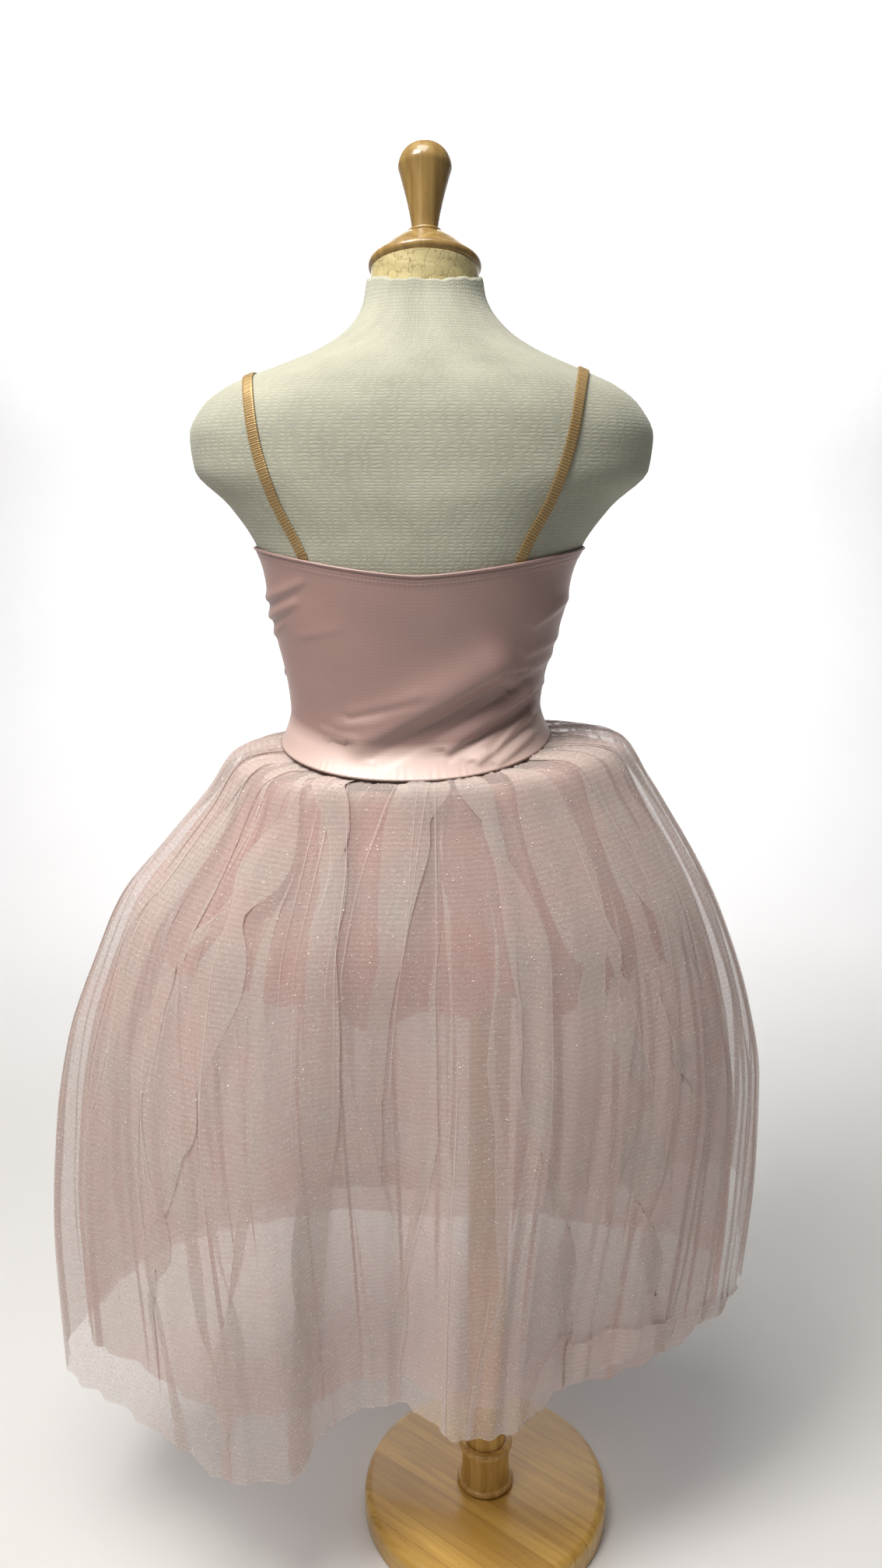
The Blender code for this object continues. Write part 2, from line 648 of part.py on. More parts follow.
def skirt_middle(skirt, turn, run):
    """The middle of a skirt's cloth before it is gathered, run being 0 at the waist and 1 at the hem."""
    room = SKIRT_CLOTH / 2 + skirt.waist_gather * (1 + FOLD_UNEVENNESS)
    top = waist_seam(turn) - GAP - room - skirt.sewn_below
    start = form_points(turn, top, SKIRT_CLEARANCE)
    folded_hem = np.stack([closed_curve(OUTER_HEM, name, turn) for name in ("x", "y")], axis=-1)
    fold = (folded_hem - plain_hem(OUTER_SKIRT, turn)) * skirt.fold_share
    growth = np.clip((run - FOLD_START) / (1 - FOLD_START), 0, 1)[..., None]
    growth = growth * growth * (3 - 2 * growth)
    left_share = (1 + np.cos(turn)) / 2
    out = bell("out_left", run) * left_share + bell("out_right", run) * (1 - left_share)
    out = out[..., None]
    hem = plain_hem(skirt, turn) + (FORM_AXIS_X, 0)
    plan = start[..., :2] * (1 - out) + hem * out + fold * growth
    hem_height = skirt.hem_height
    if hem_height is None:
        hem_height = closed_curve(OUTER_HEM, "height", turn)
    height = top - (top - hem_height) * bell("down", run) + bell("puff_right", run) * (1 - left_share)
    return np.concatenate([plan, height[..., None]], axis=-1)


def grid_normals(points):
    """Unit normals of a grid whose rows are rings, pointing away from the form."""
    round_ring = np.roll(points, -1, axis=1) - np.roll(points, 1, axis=1)
    down_skirt = np.gradient(points, axis=0)
    normals = np.cross(down_skirt, round_ring)
    return normals / np.linalg.norm(normals, axis=-1, keepdims=True)


def gathered_skirt(skirt):
    """The inner and outer points of a whole gathered skirt, row by row from waist to hem."""
    count = skirt.folds * skirt.points_per_fold
    share = np.arange(count) / count
    drift = sum(moved * np.sin(waves * FULL_TURN * share) for waves, moved in GATHER_DRIFTS)
    turn = FULL_TURN * (share + drift)
    run = np.array(skirt.rings)[:, None]
    turn, run = np.broadcast_arrays(turn, run)
    middle = skirt_middle(skirt, turn, run)
    fold_number = np.arange(count) // skirt.points_per_fold
    unlike = np.sin(FOLD_DEPTH_STEP * fold_number) * np.sin(FULL_TURN * share) ** 2
    strength = 1 + FOLD_UNEVENNESS * unlike
    wave = np.cos(FULL_TURN * np.arange(count) / skirt.points_per_fold) * strength
    depth = skirt.waist_gather + (skirt.hem_gather - skirt.waist_gather) * run
    middle = middle + grid_normals(middle) * (depth * wave)[..., None]
    offset = grid_normals(middle) * SKIRT_CLOTH / 2
    inner, outer = middle - offset, middle + offset
    for grid in (inner, outer):
        grid[0] = form_points(turn[0], grid[0, :, 2], SKIRT_CLEARANCE)
    return inner, outer


def build_skirt(skirt, finish_name, finish):
    inner, outer = gathered_skirt(skirt)
    count = inner.shape[1]
    halves = (("back", 0, 1), ("front", count // 2, -1))
    for half, first, toward_back in halves:
        columns = np.arange(first, first + count // 2 + 1) % count
        inside, outside = inner[:, columns], outer[:, columns]
        part_at_sides(inside, outside, toward_back)
        wall_object(f"{skirt.name}_{half}", inside, outside, finish_name, finish)


def main():
    for old in list(bpy.data.objects):
        bpy.data.objects.remove(old, do_unlink=True)
    build_base()
    build_socket()
    build_pole()
    build_form()
    build_neck_block()
    build_neck_cap()
    build_bodice_panel("bodice_back", 0.0, BACK_ROWS, BACK_CREASES)
    build_bodice_panel("bodice_front", math.pi, FRONT_ROWS, FRONT_CREASES)
    build_strap("strap_left", 1)
    build_strap("strap_right", -1)
    build_skirt(OUTER_SKIRT, "glitter tulle", GLITTER_TULLE)
    build_skirt(INNER_SKIRT, "plain tulle", PLAIN_TULLE)
    build_skirt(UNDERSKIRT, "pink tulle", PINK_TULLE)


main()
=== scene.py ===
"""Looks of a ballet tutu on a dress form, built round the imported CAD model.

A camisole bodice of satin knit with two elastic straps, and three gathered tulle skirts, worn by a
limbless dress form on a wooden stand. Metres, +Z up. The tutu's front is toward -Y and its wearer's
left is toward +X.

Directions round the body are called turns: 0 is the wearer's left side, a quarter turn is the
middle of the back, half a turn is the right side and three quarters is the middle of the front.
"""

import math
from collections import namedtuple

import bpy
import numpy as np
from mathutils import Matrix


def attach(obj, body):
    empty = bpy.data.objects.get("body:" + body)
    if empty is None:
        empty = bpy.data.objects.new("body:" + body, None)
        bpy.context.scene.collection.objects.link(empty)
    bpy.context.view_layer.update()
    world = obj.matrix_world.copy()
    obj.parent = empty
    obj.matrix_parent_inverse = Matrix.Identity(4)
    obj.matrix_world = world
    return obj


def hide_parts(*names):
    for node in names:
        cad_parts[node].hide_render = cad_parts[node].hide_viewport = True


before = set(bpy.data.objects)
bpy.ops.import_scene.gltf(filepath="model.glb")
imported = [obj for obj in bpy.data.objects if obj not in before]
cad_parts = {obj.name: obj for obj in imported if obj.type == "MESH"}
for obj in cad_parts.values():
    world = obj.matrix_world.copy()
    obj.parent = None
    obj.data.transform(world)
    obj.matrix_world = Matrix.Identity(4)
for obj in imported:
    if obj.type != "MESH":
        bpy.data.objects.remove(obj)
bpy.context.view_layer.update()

GAP = 0.0003  # left between pieces that touch
FULL_TURN = 2 * math.pi
BACK, FRONT = 0.0, math.pi  # the turn at which each half of a garment piece begins
HALVES = (("back", BACK), ("front", FRONT))


def table(columns, *rows):
    """Rows of values, each with these named columns."""
    row = namedtuple("row", columns)
    return [row(*values) for values in rows]


# ---------------------------------------------------------------- sizes that the solids have too

# Stand
BASE_RADIUS = 0.125
BASE_THICKNESS = 0.028
BASE_TOP_ROUND = 0.009
BASE_FOOT_ROUND = 0.002
POLE_RADIUS = 0.0195
SOCKET_RADIUS = 0.0255
SOCKET_HEIGHT = 0.050
SOCKET_BEAD = 0.0035

# Dress form
FORM_AXIS_X = 0.070
FORM_FLOOR = 0.600
SECTION_POWER = 2.3

FORM_LEVELS = table(
    "height half_width half_depth lean_x centre_y",
    (FORM_FLOOR, 0.128, 0.090, -0.001, 0.003),
    (0.650, 0.135, 0.092, -0.001, 0.003),
    (0.700, 0.133, 0.092, -0.001, 0.002),
    (0.745, 0.123, 0.089, -0.001, 0.001),
    (0.785, 0.112, 0.085, -0.002, 0.000),
    (0.817, 0.1070, 0.0825, -0.002, 0.000),
    (0.840, 0.1062, 0.0820, -0.002, -0.001),
    (0.870, 0.1095, 0.0850, -0.002, -0.002),
    (0.900, 0.1165, 0.0890, -0.003, -0.003),
    (0.929, 0.1245, 0.0940, -0.004, -0.005),
    (0.957, 0.1285, 0.0980, -0.005, -0.006),
    (0.981, 0.1375, 0.1000, -0.006, -0.006),
    (1.013, 0.1598, 0.1000, -0.007, -0.005),
    (1.042, 0.1885, 0.0970, -0.008, -0.004),
    (1.068, 0.1910, 0.0930, -0.008, -0.002),
    (1.092, 0.1785, 0.0870, -0.008, 0.000),
    (1.107, 0.1585, 0.0810, -0.009, 0.000),
    (1.119, 0.1290, 0.0740, -0.011, 0.000),
    (1.135, 0.0895, 0.0660, -0.013, -0.001),
    (1.149, 0.0675, 0.0590, -0.013, -0.002),
    (1.166, 0.0532, 0.0520, -0.012, -0.003),
    (1.179, 0.0485, 0.0480, -0.011, -0.004),
    (1.192, 0.0460, 0.0460, -0.011, -0.005),
)

# Neck
NECK_X = FORM_AXIS_X + FORM_LEVELS[-1].lean_x
NECK_Y = FORM_LEVELS[-1].centre_y
COVER_EDGE_SIDE = 1.190
COVER_EDGE_BACK = 1.183
COVER_EDGE_FRONT = 1.176
NECK_BLOCK_RADIUS = 0.0440
NECK_BLOCK_SEAT = 1.165
NECK_TILT = math.radians(13)
NEAR_AXIS = 0.0001  # how near its axis a turned shape closes
CAP_HEIGHT = 1.1955
CAP_RADIUS = 0.0458
CAP_RIM = 0.009
CAP_DOME_TOP = 0.029
CAP_DOME_TOP_RADIUS = 0.0135
CAP_DOME_SWELL = 0.62
CAP_BEAD = 0.0018
FINIAL_NECK_RADIUS = 0.0105
FINIAL_RADIUS = 0.0220
FINIAL_WIDEST = 0.084
FINIAL_TOP = 0.103
FINIAL_FLARE = 1.35
FINIAL_CROWN_FULLNESS = 0.8

# Bodice
BODICE_CLEARANCE = 0.0007
BODICE_CLOTH = 0.0012
BACK_TOP_MIDDLE = 0.961
TOP_AT_SIDE = 0.981
BACK_TOP_POWER = 1.3
SEAM_AT_SIDE = 0.8205
SEAM_BACK_DIP = 0.0200
SEAM_FRONT_DIP = 0.006
SEAM_SIDE_TILT = 0.003

FRONT_NECKLINE = table(
    "degrees_from_side height",
    (0, TOP_AT_SIDE),
    (20, 0.985),
    (40, 0.998),
    (56, 1.021),
    (64, 1.036),
    (68, 1.036),
    (78, 1.018),
    (90, 1.010),
)

# Straps
STRAP_WIDTH = 0.009
STRAP_CLOTH = 0.0012
STRAP_CLEARANCE = 0.0009
STRAP_END_SLANT = 0.0022
STRAP_PIVOT_HEIGHT = 1.000
STRAP_ROUTE = table(
    "sweep_degrees from_middle lean_x",
    (-20, 0.085, -0.001),
    (-12, 0.090, -0.001),
    (16, 0.109, -0.002),
    (49, 0.125, -0.003),
    (88, 0.134, -0.005),
    (125, 0.116, -0.007),
    (165, 0.081, -0.008),
)

# Skirts
SKIRT_CLOTH = 0.0016
SKIRT_CLEARANCE = 0.0005
FOLD_UNEVENNESS = 0.40
FOLD_DEPTH_STEP = 2.4
GATHER_DRIFTS = ((5, 0.0050), (11, 0.0036))
FOLD_START = 0.35

BELL = table(
    "run down out_left out_right puff_right",
    (0.00, 0.000, 0.000, 0.000, 0.000),
    (0.05, 0.004, 0.110, 0.160, 0.004),
    (0.12, 0.018, 0.210, 0.330, 0.006),
    (0.21, 0.075, 0.315, 0.445, 0.002),
    (0.30, 0.150, 0.475, 0.570, 0.000),
    (0.40, 0.240, 0.660, 0.700, 0.000),
    (0.50, 0.330, 0.765, 0.800, 0.000),
    (0.60, 0.460, 0.888, 0.910, 0.000),
    (0.72, 0.610, 0.960, 0.985, 0.000),
    (0.86, 0.800, 1.000, 1.000, 0.000),
    (1.00, 1.000, 0.995, 0.975, 0.000),
)

OUTER_HEM = table(
    "degrees x y height",
    (0, 0.347, 0.012, 0.205),
    (13, 0.332, 0.054, 0.203),
    (27, 0.278, 0.088, 0.198),
    (40, 0.222, 0.132, 0.202),
    (52, 0.160, 0.158, 0.180),
    (64, 0.112, 0.154, 0.178),
    (76, 0.062, 0.118, 0.214),
    (87, 0.012, 0.112, 0.220),
    (100, -0.038, 0.154, 0.220),
    (112, -0.084, 0.150, 0.221),
    (125, -0.134, 0.126, 0.245),
    (140, -0.196, 0.108, 0.260),
    (156, -0.256, 0.072, 0.257),
    (170, -0.308, 0.024, 0.258),
    (184, -0.334, -0.028, 0.268),
    (198, -0.342, -0.092, 0.330),
    (214, -0.286, -0.142, 0.305),
    (231, -0.206, -0.160, 0.262),
    (249, -0.118, -0.186, 0.248),
    (267, -0.020, -0.176, 0.250),
    (286, 0.080, -0.190, 0.244),
    (304, 0.170, -0.168, 0.236),
    (322, 0.252, -0.136, 0.226),
    (340, 0.318, -0.078, 0.216),
)

OUTER_SKIRT, INNER_SKIRT, UNDERSKIRT = table(
    "name sewn_below left_reach right_reach back_reach front_reach hem_height gathers waist_gather "
    "hem_gather ends_at fold_share",
    ("outer_skirt", 0.000, 0.348, 0.330, 0.160, 0.186, None, 44, 0.0015, 0.0070, 1.0, 1.0),
    ("inner_skirt", 0.009, 0.324, 0.306, 0.137, 0.163, 0.232, 36, 0.0014, 0.0060, 1.0, 0.95),
    ("underskirt", 0.018, 0.272, 0.260, 0.117, 0.141, 0.205, 28, 0.0014, 0.0060, 0.48, 0.0),
)

# ---------------------------------------------------------------- sizes of the finer form

# A fold where tulle doubles back on itself, as a path down the skirt of (run, degrees round the body).
# The path is the edge of the lap that lies outside, and width is the angle that the fold takes up.
# lap is how far the cloth turns back, and a lift under 0 puts the outside edge on the right. The width
# in degrees is the one at the hem, and nearer the waist the same cloth takes up more of the turn.
Fold = namedtuple("Fold", "path width lap lift")
MAIN_FOLDS = [Fold(*row) for row in (
    (
        ((0.00, 70.5), (0.10, 73.0), (0.30, 77.0), (0.58, 77.5), (0.84, 73.0), (0.95, 69.5)),
        4.4, 2.8, -0.0026,
    ),
    (((0.10, 86.0), (0.30, 79.5), (0.42, 78.5)), 1.4, 2.4, 0.0012),
    (((0.03, 95.0), (0.20, 91.5), (0.43, 88.0), (0.60, 86.0)), 3.0, 2.6, -0.0020),
    (((0.10, 59.5), (0.26, 54.0), (0.42, 45.0)), 2.4, 2.4, 0.0014),
    (((0.30, 64.0), (0.50, 62.0)), 1.4, 2.4, -0.0012),
    (((0.02, 116.0), (0.24, 120.0), (0.41, 122.5), (0.49, 126.0), (0.68, 135.0)), 1.8, 2.6, 0.0016),
    (((0.02, 157.0), (0.20, 152.0), (0.40, 157.0)), 2.4, 2.4, -0.0014),
    (((0.20, 127.0), (0.36, 127.5), (0.51, 131.0), (0.62, 135.5)), 1.5, 2.5, -0.0012),
    (((0.20, 134.5), (0.42, 134.8), (0.58, 140.5), (0.66, 146.5)), 1.9, 2.6, 0.0016),
    (((0.54, 109.0), (0.71, 115.5), (0.92, 124.0)), 2.8, 2.4, 0.0018),
    (((0.56, 131.0), (0.72, 136.0), (0.86, 143.0), (0.97, 149.0)), 3.0, 2.4, -0.0018),
    (((0.55, 102.5), (0.65, 104.5), (0.80, 107.0)), 1.8, 2.4, 0.0016),
    (((0.62, 62.5), (0.80, 55.5), (0.97, 49.0)), 2.8, 2.4, 0.0018),
    (((0.64, 94.5), (0.84, 89.0), (0.95, 86.5)), 2.0, 2.5, -0.0018),
    (((0.85, 105.5), (1.00, 102.0)), 1.7, 2.4, 0.0018),
    (((0.26, 32.5), (0.53, 29.0), (0.74, 23.0)), 2.4, 2.4, 0.0016),
    (((0.36, 58.5), (0.58, 52.0), (0.84, 40.5)), 2.2, 2.5, -0.0018),
    (((0.00, 30.0), (0.12, 26.0), (0.30, 22.0)), 2.2, 2.4, 0.0016),
    (((0.00, 48.0), (0.16, 45.0), (0.34, 46.0), (0.50, 42.0)), 2.2, 2.5, -0.0016),
    (((0.00, 104.5), (0.22, 108.0), (0.48, 112.0)), 2.2, 2.5, 0.0016),
    (((0.02, 141.0), (0.18, 140.0), (0.38, 144.0), (0.56, 152.0)), 2.2, 2.5, 0.0018),
)]

# A length of hem that has turned up on the outside, as a share of the skirt's drop.
HEM_TURN_UP = table(
    "degrees share",
    (0, 0.0), (113, 0.0), (120, 0.078), (130, 0.062), (150, 0.042),
    (168, 0.024), (180, 0.0), (262, 0.0), (272, 0.040), (290, 0.022),
    (304, 0.0), (360, 0.0),
)
TURN_UP_LIFT = 0.0045
TURN_UP_WAVE = 0.0012
FLUTTER = 0.0006  # fine upright waves low on the net
WAIST_PUFF = 0.0024  # the gathers stand out under the bodice's edge
WAIST_PUFF_AT, WAIST_PUFF_WIDTH = 0.09, 0.035
UNEVEN_HEM = 0.06  # how far a hem above the outer one strays, as a share of its drop

# How each skirt is drawn: columns round it, rows down it, chance folds and the cloth's cut length
DRAPES = table(
    "skirt columns rows chance_folds seed cut_width cut_drop",
    (OUTER_SKIRT, 2240, 84, 120, 11, 2.30, 0.72),
    (INNER_SKIRT, 1300, 40, 44, 23, 1.90, 0.70),
    (UNDERSKIRT, 800, 24, 40, 37, 0.96, 0.24),
)
WANDERS = ((3, 2.2, 0.009), (7, 5.0, 0.003))  # lines down the cloth drift aside: waves, twist, size
WAIST_SHARE = 0.50  # the waist's girth, as a share of the hem's, for the folds' widths
GATHER_SHARE = 0.32  # a net's gathers are shallower than those of the solids
ROWS_CLOSER = 1.15  # over 1, a skirt's rows lie closer together near the waist
VEIL = 0.72  # how far the light on the net goes by the skirt's fall, not by each fold
GATHERS_END = 0.26  # short folds, as many again, end by here
FADE_IN, FADE_OUT = 0.30, 0.20  # a fold's strength builds up before its path and fades after it
LEAN, BEND = 1.8, 0.3  # how far chance folds lean and bend, in degrees
PUCKERS = 132  # round the waist seam
PUCKER_RISE = 0.0009
PUCKER_END = 0.16

# A drag line in the bodice's cloth, from the form's middle line. A rise under 0 is a trough, and the
# slope above it is the longer one.
CREASE_COLUMNS = "from_x from_height to_x to_height width rise"
CREASE_FADE = 0.45
BACK_CREASES = table(
    CREASE_COLUMNS,
    (-0.064, 0.884, 0.040, 0.826, 0.0150, 0.0088),
    (-0.070, 0.866, 0.022, 0.812, 0.0075, -0.0040),
    (-0.092, 0.862, -0.030, 0.821, 0.0068, 0.0060),
    (-0.090, 0.850, -0.030, 0.815, 0.0046, -0.0030),
    (-0.093, 0.842, -0.052, 0.812, 0.0056, 0.0050),
    (-0.095, 0.854, -0.062, 0.820, 0.0034, -0.0024),
    (-0.093, 0.827, -0.066, 0.809, 0.0044, 0.0034),
    (0.058, 0.8385, 0.026, 0.8430, 0.0044, 0.0008),
    (0.068, 0.8320, 0.044, 0.8260, 0.0046, 0.0007),
    (0.070, 0.8380, 0.038, 0.8320, 0.0036, -0.0006),
    (0.048, 0.8500, -0.004, 0.8650, 0.0040, 0.0010),
    (0.050, 0.8460, -0.010, 0.8600, 0.0044, -0.0008),
    (0.118, 0.9374, 0.088, 0.9520, 0.0040, 0.0028),
    (0.118, 0.9310, 0.092, 0.9430, 0.0036, -0.0016),
    (0.120, 0.9213, 0.094, 0.9350, 0.0038, 0.0026),
    (0.118, 0.9150, 0.098, 0.9260, 0.0034, -0.0014),
    (0.116, 0.9064, 0.104, 0.9200, 0.0032, 0.0018),
    (0.088, 0.9100, 0.060, 0.9165, 0.0044, 0.0009),
    (-0.126, 0.9360, -0.098, 0.9200, 0.0050, 0.0020),
    (-0.122, 0.9060, -0.092, 0.8960, 0.0050, 0.0018),
    (-0.114, 0.8900, -0.066, 0.8700, 0.0060, 0.0016),
)
FRONT_CREASES = table(
    CREASE_COLUMNS,
    (-0.104, 0.862, -0.010, 0.832, 0.0070, 0.0026),
    (-0.104, 0.852, -0.020, 0.824, 0.0048, -0.0018),
    (-0.100, 0.842, -0.046, 0.822, 0.0044, 0.0020),
    (0.106, 0.872, 0.020, 0.836, 0.0070, 0.0026),
    (0.104, 0.860, 0.028, 0.828, 0.0046, -0.0018),
    (0.100, 0.846, 0.050, 0.824, 0.0042, 0.0018),
    (0.118, 0.945, 0.080, 0.930, 0.0048, 0.0020),
    (0.118, 0.932, 0.086, 0.920, 0.0038, 0.0014),
    (-0.118, 0.940, -0.078, 0.928, 0.0048, 0.0020),
    (-0.116, 0.926, -0.088, 0.916, 0.0038, 0.0014),
    (0.052, 1.000, 0.020, 0.985, 0.0060, 0.0010),
    (-0.052, 1.000, -0.018, 0.984, 0.0060, 0.0010),
)
BODICE_COLUMNS, BODICE_ROWS = 300, 120
RIM_WIDTH = 0.0022  # the rolled elastic rim along the top edge
RIM_RISE = 0.0009
HEM_STITCH_ROWS = (0.0066, 0.0084)  # how far below the top edge each row of stitches lies
HEM_RISE = 0.0005
HEM_GROOVE = 0.0003  # how deep the cloth is pulled in under the rim
HEM_STITCH_PULL = 0.0004  # and at each row of stitches
HEM_PULL_WIDTH = 0.0005
STITCH_LENGTH = 0.0017
STITCH_PITCH = 0.0026
STITCH_THICKNESS = 0.0004
LIP_FLARE = 0.0085  # the bodice's lower edge stands out over the gathers
LIP_FLARE_MIDDLE = 0.0050  # and by this much more at the middle of the back and front
LIP_HEIGHT = 0.028
LIP_CURVE = 1.4  # over 1, it bends out more toward its edge
LIP_DROP = 0.0030  # it reaches this far below the solid's edge
LIP_DROP_MIDDLE = 0.0003  # and by this much more at the middle of the back and front
LIP_TURNED_IN = (0.0060, 0.0030, 0.0005)  # heights of its inside above its edge
TROUGH_DEPTH = 0.0006  # the deepest a trough goes, where the cloth meets the form
SATIN_PUCKER = 0.0004  # round the lower edge
SATIN_UNEVEN = 0.0005

STRAP_RIB_PITCH = 0.0016
STRAP_RIB_RISE = 0.00055
STRAP_LOWEST = 0.0003  # how far a tucked end lies from the form
STRAP_TUCK = 0.007  # how far each strap's end reaches inside the bodice
STRAP_SWING = 0.11  # about how far a strap's ends lie from its pivot
STRAP_POINTS = 60  # along its route, before its ribs
STRAP_THINNING = 0.00045  # between two ribs
STRAP_EDGE_WAVE, STRAP_EDGE_PITCH = 0.00012, 0.0026

EDGE_STEPS = 40
EDGE_SHOWS = 0.00095  # a fold that rises more than this shows its edge as a line
EDGE_RUNS = 0.30  # if it runs on past this share of the skirt
EDGE_WIDTH = 0.0010
EDGE_CLEAR = 0.0008  # outside the cloth
GLINTS = {"back": (30000, 5), "front": (22000, 6)}  # how many, and the seed of their places
GLINT_CLEAR = 0.0004
GLINT_TILTS = (0.45, 0.35)  # how far they tip out of the cloth along it and across it
GLINT_LENGTH = 0.00085
GLINT_WIDTH = 0.00050

# ---------------------------------------------------------------- curves and surfaces


def smooth_through(xs, ys, at):
    """Values of a curve without overshoot through the points (xs, ys), at each place in at."""
    xs, ys, at = (np.asarray(values, float) for values in (xs, ys, at))
    steps = np.diff(xs)
    slopes = np.diff(ys) / steps
    tangents = np.empty_like(ys)
    tangents[0], tangents[-1] = slopes[0], slopes[-1]
    before, after = slopes[:-1], slopes[1:]
    same_way = before * after > 0
    safe = np.where(same_way, before + after, 1.0)
    tangents[1:-1] = np.where(same_way, 2 * before * after / safe, 0.0)
    place = np.clip(np.searchsorted(xs, at, side="right") - 1, 0, len(steps) - 1)
    width = steps[place]
    t = np.clip((at - xs[place]) / width, 0.0, 1.0)
    rise = (3 - 2 * t) * t * t
    return (
        ys[place] * (1 - rise)
        + ys[place + 1] * rise
        + width * tangents[place] * t * (1 - t) ** 2
        - width * tangents[place + 1] * t * t * (1 - t)
    )


def soft_step(value):
    """Rises smoothly from 0 to 1 as the value does."""
    value = np.clip(value, 0, 1)
    return value * value * (3 - 2 * value)


def column(rows, name):
    return np.array([getattr(row, name) for row in rows], float)


def unit(vectors):
    """The same directions, each of length 1."""
    return vectors / np.maximum(np.linalg.norm(vectors, axis=-1, keepdims=True), 1e-12)


def signed_power(value, power):
    return np.sign(value) * np.abs(value) ** power


def form_level(height):
    """Half width, half depth and the middle's x and y of the form at a height."""
    heights = column(FORM_LEVELS, "height")
    half_width, half_depth, lean_x, centre_y = (
        smooth_through(heights, column(FORM_LEVELS, name), height)
        for name in ("half_width", "half_depth", "lean_x", "centre_y")
    )
    return half_width, half_depth, FORM_AXIS_X + lean_x, centre_y


def form_share(x, y, height):
    """How far a point lies from the form's middle, as shares of its half width and half depth."""
    half_width, half_depth, centre_x, centre_y = form_level(height)
    return (x - centre_x) / half_width, (y - centre_y) / half_depth


def form_reach(x, y, height):
    """Under 1 inside the form and over 1 outside it."""
    across, along = form_share(x, y, height)
    return np.abs(across) ** SECTION_POWER + np.abs(along) ** SECTION_POWER


def form_turn(x, y, height):
    """The turn at which a point of the form's surface lies."""
    across, along = form_share(x, y, height)
    bend = SECTION_POWER / 2
    return np.arctan2(signed_power(along, bend), signed_power(across, bend))


def form_points(turn, height, out=0.0):
    """Points on the form's surface at these turns and heights, moved out by this distance."""
    turn, height = np.broadcast_arrays(np.asarray(turn, float), np.asarray(height, float))
    half_width, half_depth, centre_x, centre_y = form_level(height)
    bend = 2 / SECTION_POWER
    points = np.stack(
        [
            centre_x + half_width * signed_power(np.cos(turn), bend),
            centre_y + half_depth * signed_power(np.sin(turn), bend),
            height,
        ],
        axis=-1,
    )
    return points + form_normals(points) * np.asarray(out, float)[..., None]


def form_normals(points):
    """Unit normals of the form at points on it or near it."""
    nudge = 0.0005
    gradient = [
        form_reach(*np.moveaxis(points + step, -1, 0)) - form_reach(*np.moveaxis(points - step, -1, 0))
        for step in np.eye(3) * nudge
    ]
    return unit(np.stack(gradient, axis=-1))


def cover_edge(turn):
    """Height of the cover's edge round the neck: it dips behind and in front."""
    middle = np.where(np.sin(turn) > 0, COVER_EDGE_BACK, COVER_EDGE_FRONT)
    return middle + (COVER_EDGE_SIDE - middle) * np.cos(turn) ** 2


def neck_ring(turns, radius, height):
    """A ring of points round the neck's middle."""
    x = NECK_X + radius * np.cos(turns)
    y = NECK_Y + radius * np.sin(turns)
    return np.stack([x, y, np.broadcast_to(height, turns.shape)], axis=-1)


def waist_seam(turn):
    """Height of the waist seam: it dips behind and in front."""
    behind = np.maximum(np.sin(turn), 0) ** 1.5
    in_front = np.maximum(-np.sin(turn), 0)
    side = SEAM_AT_SIDE - SEAM_SIDE_TILT * np.cos(turn)
    return side - SEAM_BACK_DIP * behind - SEAM_FRONT_DIP * in_front


def bodice_top(turn):
    """Height of the bodice's top edge."""
    from_middle = np.abs(np.cos(turn))
    behind = BACK_TOP_MIDDLE + (TOP_AT_SIDE - BACK_TOP_MIDDLE) * from_middle**BACK_TOP_POWER
    from_side = np.degrees(np.arcsin(np.abs(np.sin(turn))))
    ahead = smooth_through(
        column(FRONT_NECKLINE, "degrees_from_side"), column(FRONT_NECKLINE, "height"), from_side
    )
    return np.where(np.sin(turn) > 0, behind, ahead)


def closed_curve(rows, name, turn):
    """A smooth closed curve through a table's column, by its column of degrees."""
    places = np.radians(column(rows, "degrees"))
    values = column(rows, name)
    places = np.concatenate([places - FULL_TURN, places, places + FULL_TURN])
    return smooth_through(places, np.tile(values, 3), turn)


def plain_hem(skirt, turn):
    """A skirt's hem seen from above before it is folded, round the form's axis."""
    across = np.where(np.cos(turn) > 0, skirt.left_reach, skirt.right_reach)
    along = np.where(np.sin(turn) > 0, skirt.back_reach, skirt.front_reach)
    return np.stack([across * np.cos(turn), along * np.sin(turn)], axis=-1)


def bell(name, run):
    """A column of the bell's table at each place down the skirt."""
    return smooth_through(column(BELL, "run"), column(BELL, name), run)


def skirt_middle(skirt, turn, run):
    """The middle of a skirt's cloth before it is gathered, run being 0 at the waist and 1 at the hem."""
    room = SKIRT_CLOTH / 2 + skirt.waist_gather * (1 + FOLD_UNEVENNESS)
    top = waist_seam(turn) - GAP - room - skirt.sewn_below
    start = form_points(turn, top, SKIRT_CLEARANCE)
    folded_hem = np.stack([closed_curve(OUTER_HEM, name, turn) for name in ("x", "y")], axis=-1)
    fold = (folded_hem - plain_hem(OUTER_SKIRT, turn)) * skirt.fold_share
    growth = soft_step((run - FOLD_START) / (1 - FOLD_START))[..., None]
    left_share = (1 + np.cos(turn)) / 2
    out = bell("out_left", run) * left_share + bell("out_right", run) * (1 - left_share)
    out = out[..., None]
    hem = plain_hem(skirt, turn) + (FORM_AXIS_X, 0)
    plan = start[..., :2] * (1 - out) + hem * out + fold * growth
    hem_height = skirt.hem_height
    if hem_height is None:
        hem_height = closed_curve(OUTER_HEM, "height", turn)
    height = top - (top - hem_height) * bell("down", run) + bell("puff_right", run) * (1 - left_share)
    return np.concatenate([plan, height[..., None]], axis=-1)


